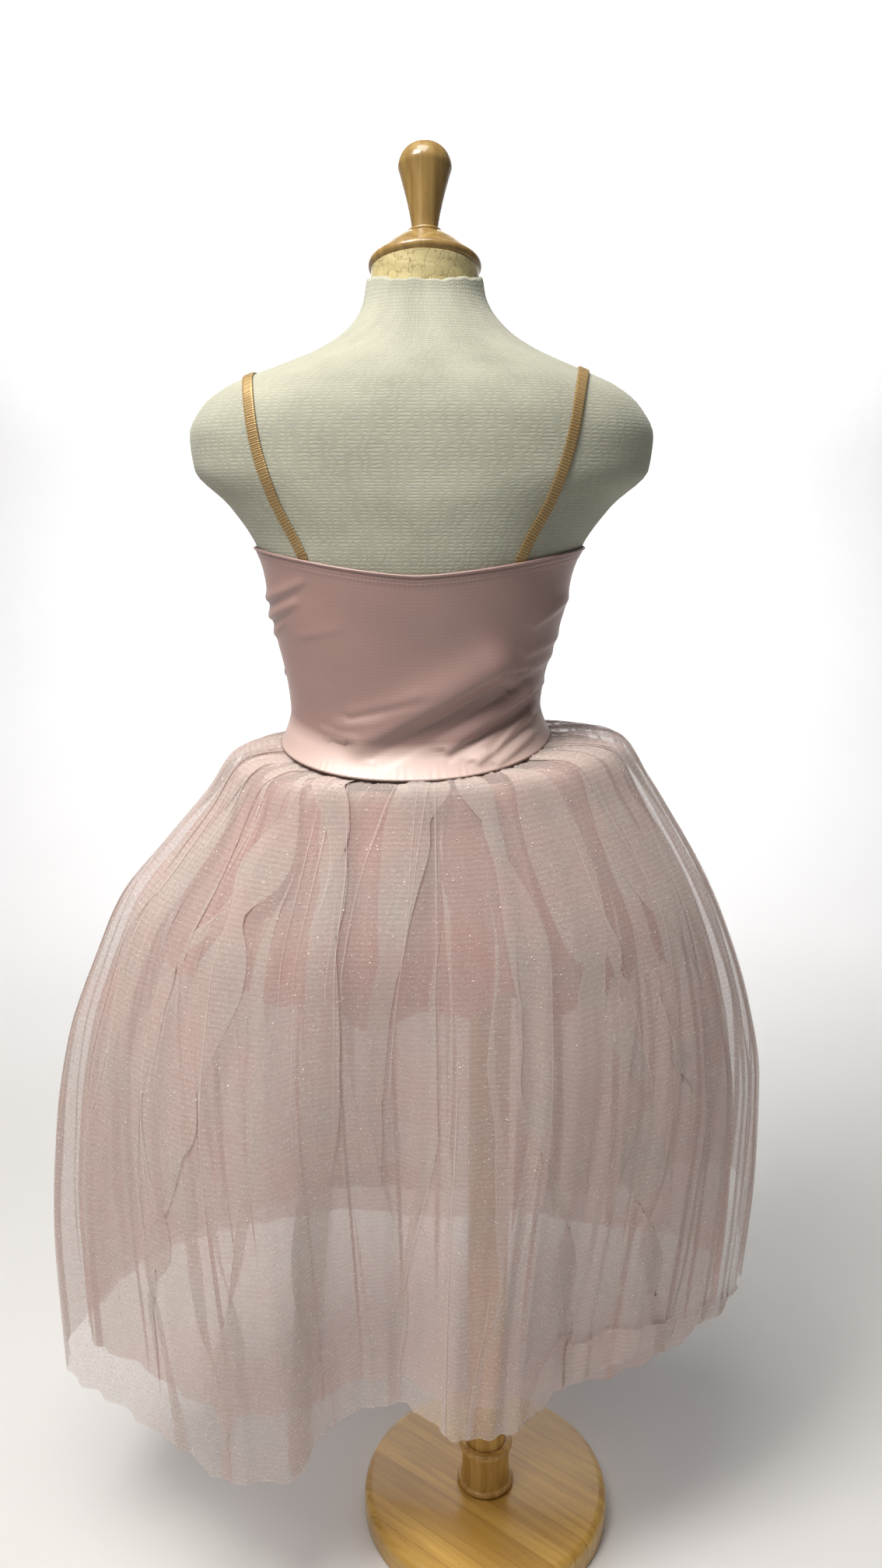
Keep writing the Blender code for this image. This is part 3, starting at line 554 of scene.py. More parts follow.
def skirt_normals(skirt, turn, run):
    """Unit normals of a skirt's ungathered cloth, pointing away from the form."""
    nudge = 0.004
    round_ring = skirt_middle(skirt, turn + nudge, run) - skirt_middle(skirt, turn - nudge, run)
    lower, upper = np.minimum(run + nudge, 1.0), np.maximum(run - nudge, 0.0)
    down_skirt = skirt_middle(skirt, turn, lower) - skirt_middle(skirt, turn, upper)
    return unit(np.cross(down_skirt, round_ring))


# ---------------------------------------------------------------- meshes


def add_object(name, data):
    made = bpy.data.objects.new(name, data)
    bpy.context.scene.collection.objects.link(made)
    return made


def add_piece(name, points, faces, finish, uv=None, nodes=()):
    """A mesh piece that rides on the body and stands for these CAD nodes."""
    mesh = bpy.data.meshes.new(name)
    mesh.from_pydata(np.asarray(points).tolist(), [], np.asarray(faces).tolist())
    if uv is not None:
        corners = np.empty(len(mesh.loops), np.int32)
        mesh.loops.foreach_get("vertex_index", corners)
        layer = mesh.uv_layers.new(name="cloth")
        layer.data.foreach_set("uv", np.asarray(uv, np.float32)[corners].ravel())
    mesh.shade_smooth()
    mesh.materials.append(finish)
    mesh.validate()
    piece = add_object(name, mesh)
    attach(piece, "root")
    if nodes:
        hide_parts(*nodes)
    return piece


def grid_faces(rows, columns, wraps=False):
    """Quads of a grid of points, whose rows may close into rings."""
    across = columns if wraps else columns - 1
    row, col = np.meshgrid(np.arange(rows - 1), np.arange(across), indexing="ij")
    right = (col + 1) % columns
    here, below = row * columns, (row + 1) * columns
    return np.stack([here + col, here + right, below + right, below + col], axis=-1).reshape(-1, 4)


def flat_lengths(points, axis):
    """How far along the cloth each point of a grid lies, averaged over the other direction."""
    steps = np.linalg.norm(np.diff(points, axis=axis), axis=-1).mean(axis=1 - axis)
    return np.concatenate([[0.0], np.cumsum(steps)])


def add_cloth(name, points, finish, nodes, width=None):
    """A grid of cloth, with its own flat directions in metres as its UVs."""
    rows, columns = points.shape[:2]
    along = flat_lengths(points, 0)[:, None]
    across = flat_lengths(points, 1)[None, :]
    if width:
        across = across * width / across[0, -1]
    uv = np.stack(np.broadcast_arrays(across, along), axis=-1).reshape(-1, 2)
    faces = grid_faces(rows, columns)
    return add_piece(name, points.reshape(-1, 3), faces, finish, uv, nodes)


def add_many(name, shape, shape_faces, places, finish, slot):
    """One mesh of many copies of a small shape, each at (origin, across, along, out) in places."""
    origins, *directions = places
    corners = origins[:, None] + sum(
        shape[None, :, axis, None] * direction[:, None] for axis, direction in enumerate(directions)
    )
    faces = shape_faces[None] + np.arange(len(origins))[:, None, None] * len(shape)
    faces = faces.reshape(-1, shape_faces.shape[1])
    return add_piece(name, corners.reshape(-1, 3), faces, finish)


def arc(centre_radius, centre_height, radius, start_degrees, end_degrees, steps):
    """Profile points (distance from the axis, height) along an arc."""
    angles = np.radians(np.linspace(start_degrees, end_degrees, steps + 1))
    return [
        (centre_radius + radius * math.cos(angle), centre_height + radius * math.sin(angle))
        for angle in angles
    ]


def add_rings(name, rings, finish, node):
    """A piece from closed rings of points, with its edges kept sharp."""
    faces = grid_faces(len(rings), rings.shape[1], wraps=True)[:, ::-1]
    piece = add_piece(name, rings.reshape(-1, 3), faces, finish, nodes=[node])
    piece.data.set_sharp_from_angle(angle=math.radians(50))


def add_turned(name, profile, finish, sides=112, tilted=False, closed=False):
    """A shape turned on the Z axis, or on the neck's tilted one, from (radius, height) rows."""
    turns = np.linspace(0, FULL_TURN, sides, endpoint=False)
    radius, z = np.array(profile).T[:, :, None]
    x, y, z = np.broadcast_arrays(radius * np.cos(turns), radius * np.sin(turns), z)
    if tilted:
        cos, sin = math.cos(NECK_TILT), math.sin(NECK_TILT)
        x, y, z = NECK_X + x, NECK_Y + y * cos - z * sin, CAP_HEIGHT + y * sin + z * cos
    rings = np.stack([x, y, z], axis=-1)
    if closed:
        rings = np.concatenate([rings, rings[:1]])
    add_rings(name + "_wood", rings, finish, name)


def open_seams(points, first_turn):
    """Moves a half's side edges back from the other half's, so that the two lie a gap apart."""
    points[:, (0, -1), 1] += (1 if first_turn == BACK else -1) * GAP / 2
    return points


# ---------------------------------------------------------------- finishes


def colour(hex_code):
    """An sRGB hex colour as linear red, green, blue and alpha."""
    shares = [int(hex_code[i : i + 2], 16) / 255 for i in (1, 3, 5)]
    linear = [c / 12.92 if c <= 0.04045 else ((c + 0.055) / 1.055) ** 2.4 for c in shares]
    return (*linear, 1.0)


MIX_A, MIX_B, MIX_COLOUR = 6, 7, 2  # a colour Mix node's sockets
STRIP_WIDTH = 0.021  # of the wood that the stand's base is glued from


class Finish:
    """A material: a Principled shader and the nodes that vary it from place to place."""

    def __init__(self, name, sheen_tint=None, **numbers):
        self.material = bpy.data.materials.new(name)
        self.material.use_nodes = True
        self.nodes = self.material.node_tree.nodes
        self.link = self.material.node_tree.links.new
        self.shader = self.nodes["Principled BSDF"].inputs
        for socket, value in numbers.items():
            self.shader[socket.replace("_", " ")].default_value = value
        if sheen_tint:
            self.shader["Sheen Tint"].default_value = colour(sheen_tint)

    def add(self, kind, inputs=None, **settings):
        """Adds a node with its settings. Its inputs are numbers, colours or other nodes' outputs."""
        made = self.nodes.new("ShaderNode" + kind)
        for name, value in settings.items():
            setattr(made, name, value)
        for name, value in (inputs or {}).items():
            if isinstance(value, bpy.types.NodeSocket):
                self.link(value, made.inputs[name])
            else:
                made.inputs[name].default_value = value
        return made.outputs

    def cloth(self):
        return self.add("UVMap", uv_map="cloth")["UV"]

    def place(self):
        return self.add("NewGeometry")["Position"]

    def moved(self, at, **settings):
        """The same places, scaled or turned."""
        return self.add("Mapping", {"Vector": at, **settings})["Vector"]

    def noise(self, at, scale, detail=2.0, **settings):
        return self.add("TexNoise", {"Vector": at, "Scale": scale, "Detail": detail, **settings})["Fac"]

    def cells(self, at, scale, **settings):
        return self.add("TexVoronoi", {"Vector": at, "Scale": scale}, **settings)

    def waves(self, at, direction, scale, distortion, detail, detail_scale=1.0):
        """Bands 0.314 m apart over the scale, which cross this direction of the cloth."""
        numbers = {"Scale": scale, "Distortion": distortion, "Detail": detail, "Detail Scale": detail_scale}
        bands = {"wave_type": "BANDS", "bands_direction": direction}
        return self.add("TexWave", {"Vector": at, **numbers}, **bands)["Fac"]

    def maths(self, operation, first, second=0.0):
        return self.add("Math", {0: first, 1: second}, operation=operation)["Value"]

    def ramp(self, value, start, end, low=0.0, high=1.0):
        """Goes from low to high while the value goes from start to end."""
        numbers = {"From Min": start, "From Max": end, "To Min": low, "To Max": high}
        return self.add("MapRange", {"Value": value, **numbers})["Result"]

    def blend(self, share, first, second):
        """Two colours, each a hex code or an output, mixed by the second one's share."""
        first, second = (colour(each) if isinstance(each, str) else each for each in (first, second))
        inputs = {0: share, MIX_A: first, MIX_B: second}
        return self.add("Mix", inputs, data_type="RGBA")[MIX_COLOUR]

    def bumps(self, height, depth, strength):
        """Raises the surface by a height pattern, depth being its real height in metres."""
        bump = self.add("Bump", {"Height": height, "Distance": depth, "Strength": strength})
        self.link(bump["Normal"], self.shader["Normal"])

    def done(self, base_colour, roughness=None):
        """The material, once it has its colour."""
        self.link(base_colour, self.shader["Base Color"])
        if roughness:
            self.link(roughness, self.shader["Roughness"])
        return self.material


def tulle(name, shade, blush, thread, opacity, spark=0.0):
    """Nylon sparkle tulle, a fine knitted net with bright yarn in it. The net is closer than a pixel,
    so it is seen as a see-through veil with faint courses of thread and a dense glitter of dashes, whose
    near-white colour is partly painted glints."""
    finish = Finish(
        name, "#F7E6DD", Roughness=0.55, Alpha=opacity, Sheen_Weight=0.25, Sheen_Roughness=0.4,
        Specular_IOR_Level=0.4,
    )
    cloth = finish.cloth()
    # The dye takes unevenly over hand-widths, 60 mm.
    patches = finish.ramp(finish.noise(cloth, 16.0, 1.0), 0.35, 0.65)
    # Courses of thread, 0.5 mm apart in the real net, are drawn 4.8 mm apart so that they show.
    threads = finish.ramp(finish.waves(cloth, "Y", 65.0, 1.2, 0.0), 0.0, 1.0, 0.0, 0.30)
    threaded = finish.blend(threads, finish.blend(patches, shade, blush), thread)
    if not spark:
        return finish.done(threaded)
    # Sparks of bright yarn lie along the courses, in cells of 1.9 mm by 1.4 mm. The yarn is pale, and its
    # near-white colour also paints in the glints it throws: painted highlights.
    cells = finish.cells(finish.moved(cloth, Scale=(530.0, 700.0, 1.0)), 1.0)
    dots = finish.ramp(cells["Distance"], 0.42, 0.24)
    chance = finish.add("SeparateColor", {"Color": cells["Color"]})["Red"]
    yarn_and_painted_glints = finish.maths("MULTIPLY", dots, finish.ramp(chance, 1 - spark, 1.0))
    return finish.done(
        finish.blend(yarn_and_painted_glints, threaded, "#FFF7F0"), finish.ramp(yarn_and_painted_glints, 0.0, 1.0, 0.6, 0.28)
    )


def satin_knit():
    """Nylon and elastane satin knit, warp knitted and dyed. Its floats lie smooth, which gives a soft
    wide gleam on each fold, and its fine wales show as a faint upright grain."""
    finish = Finish(
        "pink satin knit", "#F6DCD2", Roughness=0.40, Sheen_Weight=0.20, Sheen_Roughness=0.35,
        Specular_IOR_Level=0.9, Coat_Weight=0.20, Coat_Roughness=0.46, Coat_IOR=1.5,
    )
    cloth = finish.cloth()
    clouds = finish.noise(cloth, 11.0, 3.0, Roughness=0.55)
    dye_and_painted_highlight = finish.blend(finish.ramp(clouds, 0.35, 0.68), "#A6857F", "#A0827D")
    # Round the lower edge the knit is painted paler: a painted highlight for the light that the flared band
    # catches from above.
    up = finish.add("SeparateXYZ", {"Vector": cloth})["Y"]
    dye_and_painted_highlight = finish.blend(finish.ramp(up, 0.026, 0.040, 0.85, 0.0), dye_and_painted_highlight, "#DCC1B8")
    # Wales, 0.4 mm apart in the real knit, are drawn 2.2 mm apart so that they show.
    wales = finish.waves(cloth, "X", 145.0, 0.6, 2.0)
    courses = finish.waves(cloth, "Y", 110.0, 0.8, 2.0)
    grain = finish.maths("MULTIPLY", wales, courses)
    finish.bumps(grain, 0.00005, 0.35)
    final = finish.blend(finish.ramp(grain, 0.0, 1.0, 0.0, 0.10), dye_and_painted_highlight, "#EBCFC6")
    return finish.done(final, finish.ramp(clouds, 0.0, 1.0, 0.42, 0.50))


def lurex_elastic():
    """Braided elastic with a metallised yarn: a dull gold that glitters. It is painted lighter on each rib
    and browner between them, painted light and shade of the ribs."""
    finish = Finish("gold elastic", Metallic=0.35, Roughness=0.42, Sheen_Weight=0.10)
    cloth = finish.cloth()
    # Bands across the strap, lighter and browner, are painted light and shade of its ribs.
    rippled = finish.blend(finish.waves(cloth, "Y", 120.0, 0.5, 1.0), "#7C6238", "#B89764")
    yarn = finish.noise(cloth, 1400.0)
    final = finish.blend(finish.ramp(yarn, 0.45, 0.75, 0.0, 0.6), rippled, "#E8CF9A")
    return finish.done(final, finish.ramp(yarn, 0.0, 1.0, 0.30, 0.55))


def bright_yarn():
    """Metallised polyester yarn where it breaks the net's surface: small pale mirrors."""
    finish = Finish("sparkle yarn", Metallic=0.25, Roughness=0.50)
    tints = finish.noise(finish.place(), 90.0)
    final = finish.blend(tints, "#F7EDE7", "#EDD9CF")
    return finish.done(final, finish.ramp(tints, 0.0, 1.0, 0.42, 0.60))


def sewing_thread():
    """Spun polyester thread, twisted: a matt pink a little paler than the knit."""
    finish = Finish("pink thread", Roughness=0.6, Sheen_Weight=0.2)
    return finish.done(finish.blend(finish.noise(finish.place(), 900.0, 1.0), "#E4C3BA", "#BB918B"))


def jersey_cover():
    """Cotton jersey, knitted and stretched over the form: dull off-white rows of stitches with
    blue-grey flecks of stray fibre."""
    finish = Finish(
        "knit cover", Roughness=0.9, Sheen_Weight=0.15, Sheen_Roughness=0.6, Specular_IOR_Level=0.3
    )
    cloth = finish.cloth()
    clouds = finish.noise(cloth, 18.0, 4.0, Roughness=0.6)
    body = finish.blend(finish.ramp(clouds, 0.35, 0.68), "#AEAE9D", "#9E9E8E")
    # Rows of stitches, 0.9 mm apart in the real jersey, are drawn 3 mm apart so that they show.
    rows = finish.waves(cloth, "Y", 105.0, 2.2, 2.0, 3.0)
    wales = finish.waves(cloth, "X", 43.0, 9.0, 3.0, 2.5)
    knit = finish.maths("MULTIPLY", rows, wales)
    finish.bumps(knit, 0.0003, 0.6)
    knitted = finish.blend(finish.ramp(knit, 0.0, 1.0, 0.0, 0.40), body, "#C0C0B0")
    flecks = finish.ramp(finish.cells(cloth, 130.0)["Distance"], 0.16, 0.06, 0.0, 0.55)
    return finish.done(finish.blend(flecks, knitted, "#8D97A6"))


def varnished_beech(name, dark, light, strips=False):
    """Beech, turned and varnished. The grain runs with the piece, and the clear coat gives sharp
    highlights over warm gold. The base is glued up from strips, each of its own tone."""
    finish = Finish(
        name, Roughness=0.38, Specular_IOR_Level=0.35, Coat_Weight=0.5, Coat_Roughness=0.07,
        Coat_IOR=1.5,
    )
    place = finish.place()
    if strips:
        turned = finish.moved(place, Rotation=(0.0, 0.0, math.radians(38)))
        along = finish.moved(turned, Scale=(9.0, 130.0, 130.0))
    else:
        along = finish.moved(place, Scale=(150.0, 150.0, 9.0))
    # Grain lines, from under 1 mm to some 7 mm apart.
    grain = finish.noise(along, 1.0, 5.0, Distortion=0.6)
    finish.bumps(grain, 0.0001, 0.3)
    wood = finish.blend(finish.ramp(grain, 0.34, 0.66), dark, light)
    if strips:
        across = finish.add("SeparateXYZ", {"Vector": turned})["Y"]
        number = finish.maths("DIVIDE", across, STRIP_WIDTH)
        whole = finish.maths("FLOOR", number)
        tone = finish.add("TexWhiteNoise", {"W": whole}, noise_dimensions="1D")["Value"]
        wood = finish.blend(finish.ramp(tone, 0.0, 1.0, 0.0, 0.55), wood, "#A67A35")
        joint = finish.ramp(finish.maths("FRACT", number), 0.05, 0.0, 0.0, 0.5)
        wood = finish.blend(joint, wood, "#6E3F17")
    pores = finish.ramp(finish.cells(place, 150.0)["Distance"], 0.14, 0.05, 0.0, 0.55)
    final = finish.blend(pores, wood, "#6B4220")
    return finish.done(final, finish.ramp(grain, 0.0, 1.0, 0.30, 0.48))


def crazed_paint():
    """Cream gloss paint, brushed on the neck block: it has yellowed and crazed with age."""
    finish = Finish("cream paint", Roughness=0.35, Coat_Weight=0.4, Coat_Roughness=0.15)
    place = finish.place()
    clouds = finish.noise(place, 60.0, 4.0)
    paint = finish.blend(clouds, "#DCCF9C", "#C4B382")
    # Crazing leaves plates some 8 mm across.
    bend = finish.add("TexNoise", {"Vector": place, "Scale": 90.0})["Color"]
    moved = finish.blend(0.02, place, bend)
    edges = finish.cells(moved, 120.0, feature="DISTANCE_TO_EDGE")["Distance"]
    finish.bumps(edges, 0.0006, 0.3)
    final = finish.blend(finish.ramp(edges, 0.05, 0.0, 0.0, 0.7), paint, "#7B6A48")
    return finish.done(final, finish.ramp(clouds, 0.0, 1.0, 0.22, 0.5))


def studio_paper():
    """Matt background paper, a plain pale grey with the faintest mottling."""
    finish = Finish("studio paper", Roughness=0.95, Specular_IOR_Level=0.2)
    return finish.done(finish.blend(finish.noise(finish.place(), 3.0, 3.0), "#EAE9E8", "#E6E5E4"))


# ---------------------------------------------------------------- stand, form and neck


def build_stand(turned_wood, base_wood):
    top_ring = BASE_RADIUS - BASE_TOP_ROUND
    foot_ring = BASE_RADIUS - BASE_FOOT_ROUND
    profile = [(NEAR_AXIS, 0), (foot_ring * 0.5, 0)]
    profile += arc(foot_ring, BASE_FOOT_ROUND, BASE_FOOT_ROUND, -90, 0, 4)
    profile += arc(top_ring, BASE_THICKNESS - BASE_TOP_ROUND, BASE_TOP_ROUND, 0, 90, 10)
    profile += [(top_ring * 0.5, BASE_THICKNESS), (NEAR_AXIS, BASE_THICKNESS)]
    add_turned("stand_base", profile, base_wood, sides=160)

    foot = BASE_THICKNESS + GAP
    lip = foot + SOCKET_HEIGHT
    bore = POLE_RADIUS + GAP
    waist = SOCKET_RADIUS - 0.0012
    profile = [(bore, foot)]
    profile += arc(SOCKET_RADIUS, foot + SOCKET_BEAD, SOCKET_BEAD, -90, 90, 10)
    profile += [(waist, foot + 0.012), (waist - 0.0004, foot + 0.025), (waist, lip - 0.012)]
    profile += arc(SOCKET_RADIUS - 0.0015, lip - SOCKET_BEAD, SOCKET_BEAD, -70, 90, 10)
    profile += [(bore, lip)]
    add_turned("stand_socket", profile, turned_wood, closed=True)

    top = FORM_FLOOR - GAP
    profile = [(NEAR_AXIS, foot), (POLE_RADIUS - 0.0006, foot), (POLE_RADIUS, foot + 0.0006)]
    profile += [(POLE_RADIUS, z) for z in np.linspace(foot + 0.02, top - 0.02, 8)]
    profile += [(POLE_RADIUS, top - 0.0006), (POLE_RADIUS - 0.0006, top), (NEAR_AXIS, top)]
    add_turned("stand_pole", profile, turned_wood, sides=72)


def build_neck(turned_wood, paint):
    turns = np.linspace(0, FULL_TURN, 112, endpoint=False)
    cut = CAP_HEIGHT - GAP / math.cos(NECK_TILT)
    slant = NECK_BLOCK_RADIUS * np.sin(turns) * math.tan(NECK_TILT)
    foot = NECK_BLOCK_SEAT + GAP
    rings = [neck_ring(turns, NEAR_AXIS, foot)]
    for share in np.linspace(0, 1, 14):
        rings += [neck_ring(turns, NECK_BLOCK_RADIUS, foot + (cut + slant - foot) * share)]
    rings += [neck_ring(turns, NEAR_AXIS, np.full(len(turns), cut))]
    # Brush marks and worn paint leave the block a little uneven.
    rings = np.array(rings)
    away = rings[..., :2] - (NECK_X, NECK_Y)
    rippled = 0.0004 * np.sin(7 * turns + 300 * rings[..., 2]) * np.sin(3 * turns - 190 * rings[..., 2])
    rings[1:-1, :, :2] += (away / NECK_BLOCK_RADIUS * (rippled[..., None] - 0.0003))[1:-1]
    add_rings("neck_block_paint", rings, paint, "neck_block")

    rim = CAP_RIM / 2
    dome_foot_radius = CAP_RADIUS - rim
    profile = [(NEAR_AXIS, 0), (0.03, 0)] + arc(dome_foot_radius, rim, rim, -90, 62, 12)
    for rise in 1 - (1 - np.linspace(0, 1, 22)) ** 1.6:
        narrowing = (dome_foot_radius - CAP_DOME_TOP_RADIUS) * (1 - rise) ** CAP_DOME_SWELL
        profile += [(CAP_DOME_TOP_RADIUS + narrowing, CAP_RIM + (CAP_DOME_TOP - CAP_RIM) * rise)]
    profile += arc(CAP_DOME_TOP_RADIUS, CAP_DOME_TOP + CAP_BEAD, CAP_BEAD, -80, 90, 8)
    cap_top = profile[-1][1]
    profile += [(NEAR_AXIS, cap_top)]
    add_turned("neck_cap", profile, turned_wood, tilted=True)

    stem_foot = cap_top + GAP
    profile = [(NEAR_AXIS, stem_foot)]
    for rise in np.linspace(0, 1, 24):
        flare = (FINIAL_RADIUS - FINIAL_NECK_RADIUS) * rise**FINIAL_FLARE
        profile += [(FINIAL_NECK_RADIUS + flare, stem_foot + (FINIAL_WIDEST - stem_foot) * rise)]
    for angle in np.radians(np.linspace(5, 88, 16)):
        radius = FINIAL_RADIUS * math.cos(angle) ** FINIAL_CROWN_FULLNESS
        profile += [(radius, FINIAL_WIDEST + (FINIAL_TOP - FINIAL_WIDEST) * math.sin(angle))]
    profile += [(NEAR_AXIS, FINIAL_TOP)]
    add_turned("neck_finial", profile, turned_wood, tilted=True)


def build_form(cover):
    """The dress form's knit cover, stretched from the flat underside up to its edge round the neck."""
    turns = np.linspace(0, FULL_TURN, 168, endpoint=False)
    floor = form_points(turns, np.full(len(turns), FORM_FLOOR))
    axis = np.array([FORM_AXIS_X, 0.003, FORM_FLOOR])
    edge = 0.004  # radius of the rounded lower edge
    rings = [axis + (floor - axis) * share for share in (0.001, 0.35, 0.7, 0.93)]
    for angle in np.radians([0, 25, 50, 75]):
        height = FORM_FLOOR + edge * (1 - math.cos(angle))
        rings.append(form_points(turns, np.full(len(turns), height), -edge * (1 - math.sin(angle))))
    level_top = 1.172  # above this the rings follow the cover's edge
    for height in np.concatenate([np.linspace(0.606, 1.10, 92), np.linspace(1.104, level_top, 26)]):
        rings.append(form_points(turns, np.full(len(turns), height)))
    ragged = 0.0007 * np.sin(9 * turns + 1) + 0.0005 * np.sin(23 * turns)
    top = cover_edge(turns) + ragged - 0.0008
    for share in np.linspace(0, 1, 6)[1:]:
        rings.append(form_points(turns, level_top + (top - level_top) * share, 0.0007 * share))
    well = NECK_BLOCK_RADIUS + GAP
    for radius, height in ((well + 0.0012, top + 0.0007), (well, top), (well, NECK_BLOCK_SEAT)):
        rings.append(neck_ring(turns, radius, height))
    rings = np.array(rings)
    rings = np.concatenate([rings, rings[:, :1]], axis=1)
    add_cloth("dress_form_cover", rings[:, ::-1], cover, ["dress_form"], width=0.80)


# ---------------------------------------------------------------- bodice and straps


def crease_rise(points, creases):
    """How far each point lies on the drag lines, as a distance out from the panel."""
    rise = np.zeros(points.shape[:-1])
    place = np.stack([points[..., 0] - FORM_AXIS_X, points[..., 2]], axis=-1)
    for crease in creases:
        start = np.array([crease.from_x, crease.from_height])
        line = np.array([crease.to_x, crease.to_height]) - start
        length = np.linalg.norm(line)
        along = (place - start) @ line / length**2
        nearest = start + np.clip(along, 0, 1)[..., None] * line
        away = np.linalg.norm(place - nearest, axis=-1)
        above = np.sign(place[..., 1] - nearest[..., 1])
        width = crease.width * (1 + 0.35 * above)
        fade = 1 - CREASE_FADE * np.clip(along, 0, 1)
        rise += crease.rise * fade * np.exp(-((away / width) ** 2))
    return rise


def top_hem(below):
    """Rise of the hem along the top edge, by the distance below that edge: a rolled rim, then a band
    of doubled cloth that two rows of stitches pull in."""
    half_rim = RIM_WIDTH / 2
    rim = RIM_RISE * np.sqrt(np.clip(1 - ((below - half_rim) / half_rim) ** 2, 0, 1))
    band = HEM_RISE * (1 - soft_step((below - HEM_STITCH_ROWS[1]) / 0.0016))
    pulls = ((RIM_WIDTH * 1.15, HEM_GROOVE), *((row, HEM_STITCH_PULL) for row in HEM_STITCH_ROWS))
    return rim + band - sum(deep * np.exp(-(((below - at) / HEM_PULL_WIDTH) ** 2)) for at, deep in pulls)


def lip_edge(turn):
    """The height of the bodice's lower edge, down on the gathers."""
    return waist_seam(turn) - LIP_DROP - LIP_DROP_MIDDLE * np.sin(turn) ** 2


def bodice_out(turn, height, creases):
    """How far the bodice's outer face lies from the form."""
    rise = crease_rise(form_points(turn, height), creases)
    rise = (rise - TROUGH_DEPTH + np.sqrt((rise + TROUGH_DEPTH) ** 2 + TROUGH_DEPTH**2)) / 2
    rise = rise + SATIN_UNEVEN * np.sin(5 * turn + 40 * height) * np.sin(60 * height + 2 * turn)
    below_top = bodice_top(turn) - height
    rise = rise * soft_step(below_top / 0.014)  # the hem lies smooth
    above_edge = height - lip_edge(turn)
    flare = LIP_FLARE + LIP_FLARE_MIDDLE * np.sin(turn) ** 2
    lip = flare * np.clip(1 - above_edge / LIP_HEIGHT, 0, 1) ** LIP_CURVE
    pucker = 0.5 + 0.5 * np.sin(PUCKERS * turn + 2.2 * np.sin(9 * turn)) * np.sin(17 * turn + 1.0)
    puckered = SATIN_PUCKER * pucker * np.exp(-above_edge / 0.006)
    return BODICE_CLEARANCE + BODICE_CLOTH + rise + top_hem(below_top) + lip + puckered


def build_bodice(half, first_turn, creases, knit, thread):
    turns = np.linspace(first_turn, first_turn + math.pi, BODICE_COLUMNS)
    bottom, top = lip_edge(turns), bodice_top(turns)
    close_rows = 34  # near the top hem
    shares = [np.linspace(0, 0.90, BODICE_ROWS - close_rows), np.linspace(0.905, 1, close_rows)]
    heights = bottom + (top - bottom) * np.concatenate(shares)[:, None]
    out = bodice_out(turns, heights, creases)
    face = form_points(turns, heights, out)
    lip_inside = [
        form_points(turns, bottom + rise, bodice_out(turns, bottom + rise, creases) - BODICE_CLOTH)
        for rise in LIP_TURNED_IN
    ]
    top_inside = [
        form_points(turns, top - fall, np.maximum(out[-1] - inset, 0.0004))
        for fall, inset in ((0.0001, 0.0006), (0.0008, 0.0013), (0.0060, 0.0014))
    ]
    points = open_seams(np.concatenate([lip_inside, face, top_inside]), first_turn)
    name = "bodice_" + half
    width = flat_lengths(points, 1)[-1]
    panel = add_cloth(name + "_panel", points, knit, [name])
    count = int(width / STITCH_PITCH)
    turn = first_turn + math.pi * (np.arange(count) + 0.5) / count
    height = np.concatenate([bodice_top(turn) - below for below in HEM_STITCH_ROWS])
    stitches = stitch_places(np.tile(turn, len(HEM_STITCH_ROWS)), height, creases)
    sewn = add_many(name + "_stitches", *stitch_shape(), stitches, thread, "pink_satin")


def stitch_places(turn, height, creases):
    """Where each hem stitch lies, and which way it runs."""
    nudge = 0.002
    middle, ahead = (
        form_points(place, height, bodice_out(place, height, creases)) for place in (turn, turn + nudge)
    )
    along = unit(ahead - middle)
    out = form_normals(middle)
    return middle, along, np.cross(out, along), out


def stitch_shape():
    """A short bar of thread with round ends, lying across its middle."""
    places = np.array([-0.5, -0.44, -0.25, 0.0, 0.25, 0.44, 0.5])
    sizes = np.array([0.05, 0.7, 1.0, 1.1, 1.0, 0.7, 0.05])
    angles = np.linspace(0, FULL_TURN, 6, endpoint=False)
    radius = STITCH_THICKNESS / 2 * sizes[:, None]
    x, y, z = np.broadcast_arrays(
        STITCH_LENGTH * places[:, None], radius * np.cos(angles), radius * np.sin(angles)
    )
    return np.stack([x, y, z], axis=-1).reshape(-1, 3), grid_faces(7, 6, wraps=True)


def on_form(x, sweep):
    """The point of the form's surface in the plane at x, up from the strap's pivot at this sweep."""
    near, far = 0.0, 0.25  # the surface lies between these distances from the pivot
    for _ in range(40):
        middle = (near + far) / 2
        y = middle * math.cos(sweep)
        z = STRAP_PIVOT_HEIGHT + middle * math.sin(sweep)
        if z < FORM_LEVELS[-1].height and form_reach(x, y, z) < 1:
            near = middle
        else:
            far = middle
    return np.array([x, near * math.cos(sweep), STRAP_PIVOT_HEIGHT + near * math.sin(sweep)])


def strap_centre(side, sweep_degrees):
    sweeps = column(STRAP_ROUTE, "sweep_degrees")
    from_middle, lean_x = (
        float(smooth_through(sweeps, column(STRAP_ROUTE, name), sweep_degrees))
        for name in ("from_middle", "lean_x")
    )
    return on_form(FORM_AXIS_X + lean_x + side * from_middle, math.radians(sweep_degrees))


def clear_of_bodice(side, sweep_degrees):
    """Whether a strap's end at this sweep lies above the bodice's top edge, across its whole width."""
    x, y, height = strap_centre(side, sweep_degrees)
    edge = x + STRAP_WIDTH / 2 * np.array([-1, 0, 1])
    return bool(np.all(height - STRAP_END_SLANT > bodice_top(form_turn(edge, y, height))))


